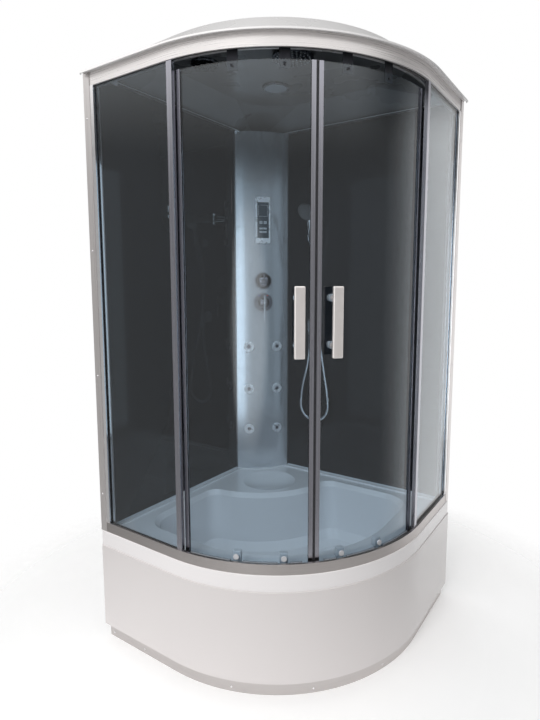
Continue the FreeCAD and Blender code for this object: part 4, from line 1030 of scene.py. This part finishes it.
@dataclass(frozen=True)
class Floor:
    """Pale round floor that keeps the cabin's shadow and fades into the white."""

    radius: float = 9.0
    depth: float = 0.02
    sides: int = 64
    fade: tuple[float, float] = (0.66, 1.45)
    shades: tuple[Colour, Colour] = ((0.96, 0.96, 0.96), (0.98, 0.98, 0.98))
    tone_scale: float = 3.0
    roughness: float = 0.6
    glow: float = 0.16

    def paint(self) -> bpy.types.Material:
        """Builds the floor's paint.

        Returns:
            The material with its node tree.
        """
        r = Recipe("floor_paint")
        reach = r.add("ShaderNodeVectorMath", Vector=r.place)
        reach.operation = "LENGTH"
        paint = r.add(
            "ShaderNodeBsdfPrincipled",
            Base_Color=r.blend(r.noise(self.tone_scale), *self.shades),
            Roughness=self.roughness,
            Emission_Color=(1, 1, 1, 1),
            Emission_Strength=self.glow,
        )
        clear = r.add("ShaderNodeBsdfTransparent")
        mix = r.add("ShaderNodeMixShader", Fac=r.spread(reach.outputs["Value"], 0.0, 1.0, *self.fade))
        r.tree.links.new(paint.outputs[0], mix.inputs[1])
        r.tree.links.new(clear.outputs[0], mix.inputs[2])
        return r.finish(mix)

    def build(self) -> None:
        """Builds the floor."""
        angles = [2 * math.pi * i / self.sides for i in range(self.sides)]
        ring = [Vector((math.cos(a), math.sin(a), 0)) * self.radius for a in angles]
        stock = Stock()
        stock.rings([[p - UP * self.depth for p in ring], ring])
        floor = stock.piece("floor")
        floor.data.materials.append(self.paint())
        log.info("built %s", floor.name)


@dataclass
class Studio:
    """Camera, surroundings, lamps and floor."""

    eye: Place = (1.0615, -1.6497, 1.3240)
    yaw: float = 33.92
    pitch: float = -6.76
    lens: float = 25.92
    sensor: float = 36.0
    shift: tuple[float, float] = (-0.0093, -0.0192)
    clip: tuple[float, float] = (0.05, 60.0)
    lamps: tuple[Lamp, ...] = (
        Lamp("key", (0.6, -3.5, 2.7), (0.0, 0.0, 1.1), 1.8, 76.0, (1.0, 0.99, 0.98)),
        Lamp("fill", (3.2, -1.4, 1.6), (0.0, 0.0, 0.9), 1.4, 2.0, (1.0, 0.95, 0.92)),
        Lamp("well", (0.02, -0.06, 1.90), (0.0, 0.0, 0.4), 0.5, 2.3, (0.94, 0.98, 1.0)),
    )

    def build_camera(self) -> None:
        """Sets up the camera at the photograph's place."""
        data = bpy.data.cameras.new("camera")
        data.sensor_width = self.sensor
        data.lens = self.lens
        data.shift_x, data.shift_y = self.shift
        data.clip_start, data.clip_end = self.clip
        camera = bpy.data.objects.new("camera", data)
        camera.location = self.eye
        camera.rotation_euler = (math.radians(90 + self.pitch), 0, math.radians(self.yaw))
        bpy.context.scene.collection.objects.link(camera)
        bpy.context.scene.camera = camera
        bpy.context.scene.view_settings.view_transform = "Standard"

    def build(self) -> None:
        """Builds the surroundings, the lamps and the floor."""
        Surroundings().build()
        for lamp in self.lamps:
            lamp.build()
        Floor().build()


# Hand shower, hose and wall fittings


@dataclass
class HoseRun(Assembly):
    """Metal hose that hangs from the wall elbow up to the hand shower."""

    diameter: float = 0.013
    length: float = 1.2855
    pitch: float = 0.0042
    groove: float = 0.0009
    wave: tuple[float, ...] = (0.0, 0.35, 1.0, 0.35)
    sides: int = 14
    order: int = 3
    line_steps: int = 24
    points: tuple[Place, ...] = (
        (-0.1500, 0.4639, 1.4336), (-0.1500, 0.4762, 1.3878), (-0.1470, 0.4820, 1.3000),
        (-0.1390, 0.4800, 1.1800), (-0.1220, 0.4720, 1.0600), (-0.1000, 0.4640, 0.9500),
        (-0.0780, 0.4580, 0.8500), (-0.0660, 0.4550, 0.7787), (-0.0660, 0.4550, 0.7313),
        (-0.0939, 0.4550, 0.6929), (-0.1390, 0.4550, 0.6782), (-0.1841, 0.4550, 0.6929),
        (-0.2120, 0.4550, 0.7313), (-0.2120, 0.4550, 0.7787), (-0.2020, 0.4550, 0.8530),
        (-0.1760, 0.4550, 0.9450), (-0.1650, 0.4550, 1.0350), (-0.1650, 0.4550, 1.1180),
    )
    bend_start: Place = (-0.139, 0.480, 1.180)
    bend_end: Place = (-0.150, 0.4640, 1.425)
    nut_lead: int = 6
    nut_sides: int = 36
    nut_profile: Section = (
        (0.0005, 0.0002), (0.0005, 0.0030), (0.0100, 0.0032), (0.0110, 0.0022),
        (0.0120, 0.0022), (0.0130, 0.0028), (0.0250, 0.0007), (0.0262, 0.0001),
    )
    knurl_depth: float = 0.00035
    knurl_ends: tuple[float, float] = (0.0004, 0.0105)

    def route(self) -> list[Vector]:
        """Reads points along the smooth line of the hose.

        Returns:
            The points, from the hand shower to the elbow.
        """
        curve = bpy.data.curves.new("hose_line", "CURVE")
        curve.dimensions = "3D"
        spline = curve.splines.new("NURBS")
        spline.points.add(len(self.points) - 1)
        for knot, point in zip(spline.points, self.points):
            knot.co = (*point, 1.0)
        spline.order_u = self.order
        spline.use_endpoint_u = True
        spline.resolution_u = self.line_steps
        holder = bpy.data.objects.new("hose_line", curve)
        bpy.context.scene.collection.objects.link(holder)
        bpy.context.view_layer.update()
        mesh = bpy.data.meshes.new_from_object(holder)
        line = [v.co.copy() for v in mesh.vertices]
        bpy.data.meshes.remove(mesh)
        bpy.data.objects.remove(holder)
        bpy.data.curves.remove(curve)
        return line

    def walk(self, line: Sequence[Vector], step: float) -> list[Vector]:
        """Points at even steps along a line, its ends among them.

        Args:
            line: The points of the line.
            step: The wanted step.

        Returns:
            The evenly spaced points.
        """
        reach = [0.0]
        for a, b in zip(line, line[1:]):
            reach.append(reach[-1] + (b - a).length)
        count = round(reach[-1] / step)
        even = []
        k = 0
        for i in range(count + 1):
            want = reach[-1] * i / count
            while k < len(line) - 2 and reach[k + 1] < want:
                k += 1
            share = (want - reach[k]) / max(reach[k + 1] - reach[k], 1e-9)
            even.append(line[k].lerp(line[k + 1], share))
        return even

    def tube(self, line: Sequence[Vector]) -> bpy.types.Object:
        """Builds the ribbed tube.

        Args:
            line: The points of the hose's line.

        Returns:
            The tube.
        """
        even = self.walk(line, self.pitch / len(self.wave))
        side = Vector((1, 0, 0))
        rings = []
        for i, point in enumerate(even):
            ahead = (even[min(i + 1, len(even) - 1)] - even[max(i - 1, 0)]).normalized()
            side = (side - ahead * side.dot(ahead)).normalized()
            other = ahead.cross(side)
            radius = self.diameter / 2 - self.groove * self.wave[i % len(self.wave)]
            rings.append([point + (side * math.cos(a) + other * math.sin(a)) * radius
                          for a in (2 * math.pi * k / self.sides for k in range(self.sides))])
        stock = Stock()
        stock.rings(rings)
        return stock.piece("ribbed_hose", 80.0)

    def nut(self, name: str, point: Vector, ahead: Vector) -> bpy.types.Object:
        """Builds a knurled cone nut round one end of the hose.

        Args:
            name: The nut's name.
            point: The end of the hose.
            ahead: Direction from that end along the hose.

        Returns:
            The nut.
        """
        place = aim(point, ahead)
        low, high = self.knurl_ends
        rings = []
        for along, rise in self.nut_profile:
            ring = []
            for k in range(self.nut_sides):
                angle = 2 * math.pi * k / self.nut_sides
                notch = self.knurl_depth if k % 2 and low < along < high else 0.0
                radius = self.diameter / 2 + rise - notch
                ring.append(place @ Vector((along, radius * math.cos(angle), radius * math.sin(angle))))
            rings.append(ring)
        stock = Stock()
        stock.rings(rings)
        return stock.piece(name, 30.0)

    def build(self) -> None:
        """Builds the hose and the union nuts at its ends."""
        line = self.route()
        lead = self.nut_lead
        hose = self.tube(line)
        self.paint.coat(hose, "chrome_hose")
        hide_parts("shower_hose")
        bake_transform(hose)
        upper = self.nut("hose_nut_upper", line[0], (line[lead] - line[0]).normalized())
        lower = self.nut("hose_nut_lower", line[-1], (line[-1 - lead] - line[-1]).normalized())
        self.place(upper, "chrome", body="hand_set", slot="chrome")
        self.place(lower, "chrome", slot="chrome")
        log.info("built %s", hose.name)


@dataclass
class WallFittings(Assembly):
    """Shelf, hand shower, its holder and the hose elbow."""

    shelf_middle: float = 0.0245
    bracket_reach: float = 0.1385
    screw_face: float = -0.4925
    screw_height: float = 1.6345
    screw_radius: float = 0.0035
    pad_ends: tuple[float, float] = (-0.4975, -0.4400)
    pad_height: float = 1.6017
    pad_size: tuple[float, float, float] = (0.0144, 0.0012, 0.0005)

    def dress(self) -> None:
        """Finishes of the solids."""
        self.paint.dress(["hand_shower", "holder_cup", "holder_base", "hose_outlet", "shelf_brackets"],
                         "chrome")
        self.paint.dress(["shelf_glass"], "clear_glass")

    def build_pads(self) -> None:
        """Clear pads and clamp screws of the shelf brackets."""
        pads, screws = Stock(), Stock()
        for side in (-1, 1):
            y = self.shelf_middle + side * self.bracket_reach
            seat = Vector((self.screw_face, y, self.screw_height))
            screw(screws, seat, Vector((1, 0, 0)), self.screw_radius)
            pads.swept([(Vector((x, y, self.pad_height)), Vector((0, 1, 0)), UP) for x in self.pad_ends],
                       rounded(*self.pad_size))
        self.place(screws.piece("shelf_screws"), "chrome", slot="chrome")
        self.place(pads.piece("shelf_pads"), "clear_seal")

    def build(self) -> None:
        """Dresses the solids and builds the small pieces."""
        self.dress()
        self.build_pads()


# Tray and apron


@dataclass
class TraySet(Assembly):
    """Deep tray, apron, plinth strip, frame, feet and drain."""

    stud_step: float = 0.026
    stud_radius: float = 0.0062
    stud_height: float = 0.0011
    stud_root: float = 0.0003
    stud_profile: Section = ((0.45, 0.9), (0.85, 0.6), (1.0, 0.12))
    stud_rows: int = 14
    row_share: float = 0.866
    well_floor: float = 0.160
    well_room: float = 0.014
    well_back: float = 0.3315
    well_front: float = 0.2485
    well_arc: float = 0.391
    seat_axis: Place = (-0.4429, 0.4429, 0.0)
    seat_arc: float = 0.485
    drain: Place = (0.030, -0.030, 0.0)
    drain_room: float = 0.052
    bead_section: Section = ((0.0, 0.0), (0.0052, 0.0), (0.0030, 0.0008), (0.0012, 0.0022), (0.0, 0.0050))
    bead_ends: tuple[float, float] = (-0.4450, 0.3420)
    bead_wall: float = -0.4985
    screw_radius: float = 0.0036
    screw_height: float = 0.0162
    screw_places: tuple[float, ...] = (-0.4634, -0.300)
    screw_angles: tuple[float, ...] = (-70, -45, -20)
    strip_face: float = -0.4785
    strip_setback: float = 0.015

    def dress(self) -> None:
        """Finishes of the solids."""
        self.paint.dress(["tray"], "tray_acrylic")
        self.paint.dress(["apron"], "apron_gloss")
        self.paint.dress(["plinth_strip"], "plinth_metal")
        self.paint.dress(["tray_frame", "levelling_feet"], "zinc_steel")
        self.paint.dress(["drain_waste", "drain_grid"], "chrome")
        self.paint.dress(["drain_trap"], "grey_plastic")

    def on_floor(self, x: float, y: float) -> bool:
        """Whether a place lies on the level floor of the foot well, clear of its walls and drain.

        Args:
            x: Place to the right.
            y: Place to the back.

        Returns:
            True where a stud has room.
        """
        room = self.well_room
        if x < room - self.well_back or y > self.well_back - room:
            return False
        if x > self.well_front - room or y < room - self.well_front:
            return False
        place = Vector((x, y, 0))
        if x > PLAN.arc.x and y < PLAN.arc.y and (place - PLAN.arc).length > self.well_arc - room:
            return False
        if (place - Vector(self.seat_axis)).length < self.seat_arc + room:
            return False
        return (place - Vector(self.drain)).length > self.drain_room

    def build_studs(self) -> None:
        """Raised round studs that keep wet feet from slipping."""
        stock = Stock()
        r, h = self.stud_radius, self.stud_height
        profile = [(-self.stud_root, r)] + [(h * a, r * b) for a, b in self.stud_profile]
        for row in range(-self.stud_rows, self.stud_rows + 1):
            for column in range(-self.stud_rows, self.stud_rows + 1):
                x = (column + (row % 2) / 2) * self.stud_step
                y = row * self.stud_step * self.row_share
                if self.on_floor(x, y):
                    stock.turned(profile, aim(Vector((x, y, self.well_floor)), UP), sides=14)
        self.place(stock.piece("foot_well_studs", 60.0), "tray_acrylic", slot="tray_acrylic")

    def build_bead(self) -> None:
        """Silicone bead between the rear walls and the tray's rim."""
        stock = Stock()
        stations = [(Vector((self.bead_wall, y, PLAN.rail_base)), Vector((1, 0, 0)), UP)
                    for y in self.bead_ends]
        stock.swept(stations, self.bead_section)
        stock.swept([(mirrored(p), mirrored(u), w) for p, u, w in stations], self.bead_section)
        self.place(stock.piece("wall_bead", 50.0), "silicone")

    def build_screws(self) -> None:
        """Screws that hold the plinth strip and the apron's returns."""
        stock = Stock()
        for x in self.screw_places:
            point = Vector((x, self.strip_face, self.screw_height))
            screw(stock, point, Vector((0, -1, 0)), self.screw_radius)
            screw(stock, mirrored(point), Vector((1, 0, 0)), self.screw_radius)
        for angle in self.screw_angles:
            a = math.radians(angle)
            out = Vector((math.cos(a), math.sin(a), 0))
            point = PLAN.arc + out * (PLAN.radius - self.strip_setback) + UP * self.screw_height
            screw(stock, point, out, self.screw_radius)
        self.place(stock.piece("plinth_screws"), "chrome", slot="chrome")

    def build(self) -> None:
        """Dresses the solids and builds the small pieces."""
        self.dress()
        self.build_studs()
        self.build_bead()
        self.build_screws()


# Frame and fixed glazing


@dataclass
class FrameSet(Assembly):
    """Rails, wall profiles, fixed panes and rear wall panels."""

    glass_front: float = -0.4775
    glass_depth: float = 0.005
    gasket_size: tuple[float, float, float] = (0.0032, 0.0024, 0.0009)
    gasket_lift: float = 0.0013
    gasket_gap: float = 0.0004
    channel_edge: float = -0.4595
    post_edge: float = -0.122
    screw_radius: float = 0.0034
    screw_place: tuple[float, float] = (-0.4925, -0.4875)
    screw_heights: tuple[float, ...] = (0.560, 1.000, 1.440, 1.880)
    pile_size: tuple[float, float, float] = (0.0036, 0.0072, 0.0008)
    pile_setback: float = 0.0185
    pile_lift: float = 0.0036
    pile_margin: float = 0.031

    def dress(self) -> None:
        """Finishes of the solids."""
        self.paint.dress(["top_rail"], "satin_aluminium")
        self.paint.dress(["bottom_rail"], "sill_aluminium")
        self.paint.dress(["frame_profiles"], "upright_aluminium")
        self.paint.dress(["glass_channels"], "chrome")
        self.paint.dress(["fixed_glass"], "smoked_glass")
        self.paint.dress(["door_posts"], "strip_aluminium")
        self.paint.dress(["back_panels"], "dark_panel")

    def build_gaskets(self) -> None:
        """Black wedge gaskets on both sides of each fixed pane, in its channel and its post."""
        stock = Stock()
        lip = rounded(*self.gasket_size)
        faces = (self.glass_front - self.gasket_lift, self.glass_front + self.glass_depth + self.gasket_lift)
        heights = (PLAN.bay_base + self.gasket_gap, PLAN.bay_top - self.gasket_gap)
        for side in Side:
            along, out = on_side(side, Vector((1, 0, 0))), on_side(side, Vector((0, 1, 0)))
            for x in (self.channel_edge, self.post_edge):
                for y in faces:
                    stock.swept([(on_side(side, Vector((x, y, z))), along, out) for z in heights], lip)
        self.place(stock.piece("pane_gaskets"), "black_rubber")

    def build_screws(self) -> None:
        """Screws through the wall profiles."""
        stock = Stock()
        for side in Side:
            for z in self.screw_heights:
                point = on_side(side, Vector((*self.screw_place, z)))
                screw(stock, point, on_side(side, Vector((0, -1, 0))), self.screw_radius)
        self.place(stock.piece("profile_screws"), "chrome", slot="chrome")

    def build_pile(self) -> None:
        """Dark pile strip under the top rail that closes the slit above the doors."""
        stock = Stock()
        stations = PLAN.front_stations(-self.pile_setback, PLAN.bay_top + self.pile_lift, self.pile_margin)
        stock.swept(stations, rounded(*self.pile_size))
        self.place(stock.piece("rail_pile_strip"), "black_rubber")

    def build(self) -> None:
        """Dresses the solids and builds the small pieces."""
        self.dress()
        self.build_gaskets()
        self.build_screws()
        self.build_pile()


# Sliding doors


@dataclass
class SlidingDoor(Assembly):
    """One curved sliding door with its seals, handle and running gear."""

    side: Side = Side.LEFT
    meeting_angle: float = 45.02
    handle_angle: float = 50.2
    post_heights: tuple[float, float] = (1.140, 1.285)
    seal_size: tuple[float, float, float] = (0.0034, 0.0016, 0.0006)
    seal_out: float = 0.0021
    seal_shift: float = 0.0006
    seal_clearance: float = 0.0003
    seal_gap: float = 0.001
    wiper_size: tuple[float, float, float] = (0.0072, 0.0085, 0.0012)
    wiper_setback: float = 0.0025
    wiper_lift: float = 0.0015
    wiper_spans: tuple[tuple[float, float], ...] = ((48.4, 52.2), (55.9, 66.6), (70.4, 84.2))
    washer_profile: Section = (
        (0.0001, 0.0105), (0.0011, 0.0105), (0.0015, 0.0097), (0.0015, 0.0084), (0.0001, 0.0084),
    )

    def __post_init__(self) -> None:
        """Sets the pieces on the door's own body."""
        self.body = self.side.value + "_door"

    def named(self, *words: str) -> list[str]:
        """Names of this door's pieces."""
        return [self.side.value + "_" + word for word in words]

    def dress(self) -> None:
        """Finishes of the solids."""
        self.paint.dress(self.named("door_glass"), "smoked_glass")
        self.paint.dress(self.named("door_strips"), "strip_aluminium")
        self.paint.dress(self.named("handle"), "handle_chrome")
        self.paint.dress(self.named("carriers"), "dark_metal")
        self.paint.dress(self.named("bottom_guides", "wheel_1", "wheel_2"), "pale_plastic")

    def build_seal(self) -> None:
        """Magnetic seal along the meeting edge."""
        stock = Stock()
        radius = PLAN.door_glass_outer + self.seal_out
        width = math.degrees(self.seal_size[0] / radius)
        angle = -math.radians(self.meeting_angle + width / 2 + math.degrees(self.seal_clearance / radius))
        out = Vector((math.cos(angle), math.sin(angle), 0))
        along = Vector((-out.y, out.x, 0))
        corners = []
        for z in (PLAN.door_base + self.seal_gap, PLAN.door_top - self.seal_gap):
            point = Vector((PLAN.arc.x, PLAN.arc.y, z)) + out * radius
            corners.append((on_side(self.side, point), on_side(self.side, along), on_side(self.side, out)))
        stock.swept(corners, moved(rounded(*self.seal_size), 0.0, self.seal_shift))
        self.place(stock.piece(*self.named("magnet_seal")), "black_rubber")

    def build_wiper(self) -> None:
        """Wiper along the foot of the glass, between the guides."""
        stock = Stock()
        radius = PLAN.door_glass_outer - self.wiper_setback
        level = PLAN.door_base + self.wiper_lift
        for start, end in self.wiper_spans:
            stations = PLAN.door_stations(self.side, radius, start, end, level, steps=20)
            stock.swept(stations, rounded(*self.wiper_size))
        self.place(stock.piece(*self.named("foot_wiper")), "clear_seal")

    def build_washers(self) -> None:
        """Clear washers between the glass and the handle's posts."""
        stock = Stock()
        a = -math.radians(self.handle_angle)
        out = Vector((math.cos(a), math.sin(a), 0))
        for z in self.post_heights:
            base = on_side(self.side, Vector((PLAN.arc.x, PLAN.arc.y, z)) + out * PLAN.door_glass_outer)
            stock.turned(self.washer_profile, aim(base, on_side(self.side, out)))
        self.place(stock.piece(*self.named("handle_washers")), "clear_seal")

    def build(self) -> None:
        """Dresses the solids and builds the small pieces."""
        self.dress()
        self.build_seal()
        self.build_wiper()
        self.build_washers()


# Service column, panel and mixer


@dataclass
class ServiceColumn(Assembly):
    """Column shell with its control panel, mixer, jets and pipes."""

    bezel_base: float = 1.519
    bezel_depth: float = 0.008
    button_face: float = 0.0096
    mark_lift: float = 0.0003
    arrow_size: float = 0.0034
    arrow_tail: float = 0.7
    arrow_reach: float = 0.010
    arrow_level: float = 0.096
    dot_radius: float = 0.0022
    dot_level: float = 0.068
    bar_size: tuple[float, float, float] = (0.011, 0.0016, 0.0007)
    bar_level: float = 0.052
    display_outer: tuple[float, float, float] = (0.044, 0.052, 0.003)
    display_inner: tuple[float, float, float] = (0.0424, 0.0504, 0.0024)
    display_level: float = 0.150
    display_rise: float = 0.0003
    display_root: float = 0.0004
    lip_angle: float = 22.7
    lip_size: tuple[float, float, float] = (0.003, 0.004, 0.001)
    lip_gaps: tuple[float, float] = (0.001, 0.002)
    mixer_level: float = 1.241
    plate_face: float = 0.0078
    warmth_radius: float = 0.0375
    warmth_angle: float = 32.0
    warmth_profile: Section = ((0.0, 0.0028), (0.0004, 0.0027), (0.0006, 0.0018), (0.0007, 0.0003))

    def dress(self) -> None:
        """Finishes of the solids."""
        self.paint.dress(["column_shell"], "column_silver")
        self.paint.dress(["control_bezel", "jet_rings"], "bezel_chrome")
        self.paint.dress(["control_screen"], "screen_gloss")
        self.paint.dress(["arrow_left_button", "arrow_right_button", "lamp_button", "power_button"],
                         "button_silver")
        self.paint.dress(["mixer_lever"], "chrome")
        self.paint.dress(["valve_escutcheons", "diverter_knob", "mixer_knob"], "knob_chrome")
        self.paint.dress([f"nozzle_{n}" for n in range(1, 7)], "knob_chrome")
        self.paint.dress(["mixer_valve"], "brass")
        self.paint.dress(["water_pipes"], "grey_plastic")

    def build_mark(self, button: str, outline: Section) -> None:
        """Plain raised mark on a button.

        Args:
            button: The button, whose body the mark rides on.
            outline: Pairs across the panel and up from its foot.
        """
        place = PLAN.column_frame(0, self.bezel_base)
        stock = Stock()
        stock.rings([[place @ Vector((x, a, b)) for a, b in outline]
                     for x in (self.button_face, self.button_face + self.mark_lift)])
        self.place(stock.piece(button + "_mark"), "mark_ink", body=button)

    def build_marks(self) -> None:
        """Marks of the four buttons: two arrows, a lamp dot and a bar."""
        s, tail, level = self.arrow_size, self.arrow_size * self.arrow_tail, self.arrow_level
        for button, turn in (("arrow_left_button", -1), ("arrow_right_button", 1)):
            middle = turn * self.arrow_reach
            self.build_mark(button, [(middle + turn * s, level), (middle - turn * tail, level + s),
                                     (middle - turn * tail, level - s)])
        angles = [2 * math.pi * i / 20 for i in range(20)]
        dot = [(self.dot_radius * math.cos(a), self.dot_level + self.dot_radius * math.sin(a))
               for a in angles]
        self.build_mark("lamp_button", dot)
        self.build_mark("power_button", moved(rounded(*self.bar_size), 0.0, self.bar_level))

    def build_display(self) -> None:
        """Thin bright frame round the display window on the dark plate."""
        outer = moved(rounded(*self.display_outer, 5), 0.0, self.display_level)
        inner = moved(rounded(*self.display_inner, 5), 0.0, self.display_level)
        root, top = self.bezel_depth - self.display_root, self.bezel_depth + self.display_rise
        edges = ((outer, root), (outer, top), (inner, top), (inner, root))
        place = PLAN.column_frame(0, self.bezel_base)
        stock = Stock()
        stock.rings([[place @ Vector((x, a, b)) for a, b in outline] for outline, x in edges], closed=False)
        count = len(outer)
        for j in range(count):
            a, b = 3 * count + j, 3 * count + (j + 1) % count
            stock.faces.append([a, b, (j + 1) % count, j])
        self.place(stock.piece("display_frame"), "bezel_chrome", slot="bezel_chrome")

    def build_lips(self) -> None:
        """Rubber lips where the column meets the rear walls."""
        stock = Stock()
        low, high = self.lip_gaps
        for side in (-1, 1):
            ends = []
            for z in (PLAN.rail_base + low, PLAN.frame_top - high):
                place = PLAN.column_frame(side * self.lip_angle, z)
                ends.append((place.translation, place.col[0].xyz, place.col[1].xyz))
            stock.swept(ends, rounded(*self.lip_size))
        self.place(stock.piece("column_edge_lips"), "black_rubber")

    def build_warmth_dots(self) -> None:
        """Red and blue warmth dots on the mixer's cover plate."""
        mixer = PLAN.column_frame(0, self.mixer_level)
        for name, side in (("warm_dot", -1), ("cool_dot", 1)):
            a = math.radians(90 + side * self.warmth_angle)
            across, up = self.warmth_radius * math.cos(a), self.warmth_radius * math.sin(a)
            spot = Matrix.Translation(Vector((self.plate_face, across, up)))
            stock = Stock()
            stock.turned(self.warmth_profile, mixer @ spot, sides=20)
            self.place(stock.piece(name), name)

    def build(self) -> None:
        """Dresses the solids and builds the small pieces."""
        self.dress()
        self.build_marks()
        self.build_display()
        self.build_lips()
        self.build_warmth_dots()


# Roof


@dataclass
class RoofSet(Assembly):
    """Domed roof with its rain head, speaker and lamp."""

    rain_centre: Place = (0.056, -0.056, 0.0)
    rain_face: float = 2.093
    ring_step: float = 0.015
    ring_count: int = 4
    tip_profile: Section = (
        (0.0, 0.0027), (0.0012, 0.0026), (0.0026, 0.0016), (0.0028, 0.0007), (0.0018, 0.0005),
    )

    def dress(self) -> None:
        """Finishes of the solids."""
        self.paint.dress(["roof"], "roof_gloss")
        self.paint.dress(["rain_head", "ceiling_covers"], "rain_chrome")
        self.paint.dress(["ceiling_light_lens"], "lamp_lens")

    def build_tips(self) -> None:
        """Soft tips on the rain head's nozzles."""
        stock = Stock()
        for ring in range(1, self.ring_count + 1):
            count = 6 * ring
            for i in range(count):
                a = 2 * math.pi * i / count
                out = Vector((math.cos(a), math.sin(a), 0))
                spot = Vector(self.rain_centre) + out * self.ring_step * ring
                stock.turned(self.tip_profile, aim(spot + UP * self.rain_face, -UP), sides=12)
        self.place(stock.piece("rain_tips"), "grey_plastic", slot="grey_plastic")

    def build(self) -> None:
        """Dresses the solids and builds the small pieces."""
        self.dress()
        self.build_tips()


# The run


def main() -> None:
    """Builds the camera, the hose, the studio and every assembly in order."""
    logging.basicConfig(level=logging.INFO, format="%(message)s")
    paint = Paintbox(Finishes())
    studio = Studio()
    studio.build_camera()
    HoseRun(paint).build()
    studio.build()
    assemblies = (
        TraySet(paint),
        FrameSet(paint),
        SlidingDoor(paint, side=Side.LEFT),
        SlidingDoor(paint, side=Side.RIGHT),
        ServiceColumn(paint),
        RoofSet(paint),
        WallFittings(paint),
    )
    for assembly in assemblies:
        assembly.build()


if __name__ == "__main__":
    main()
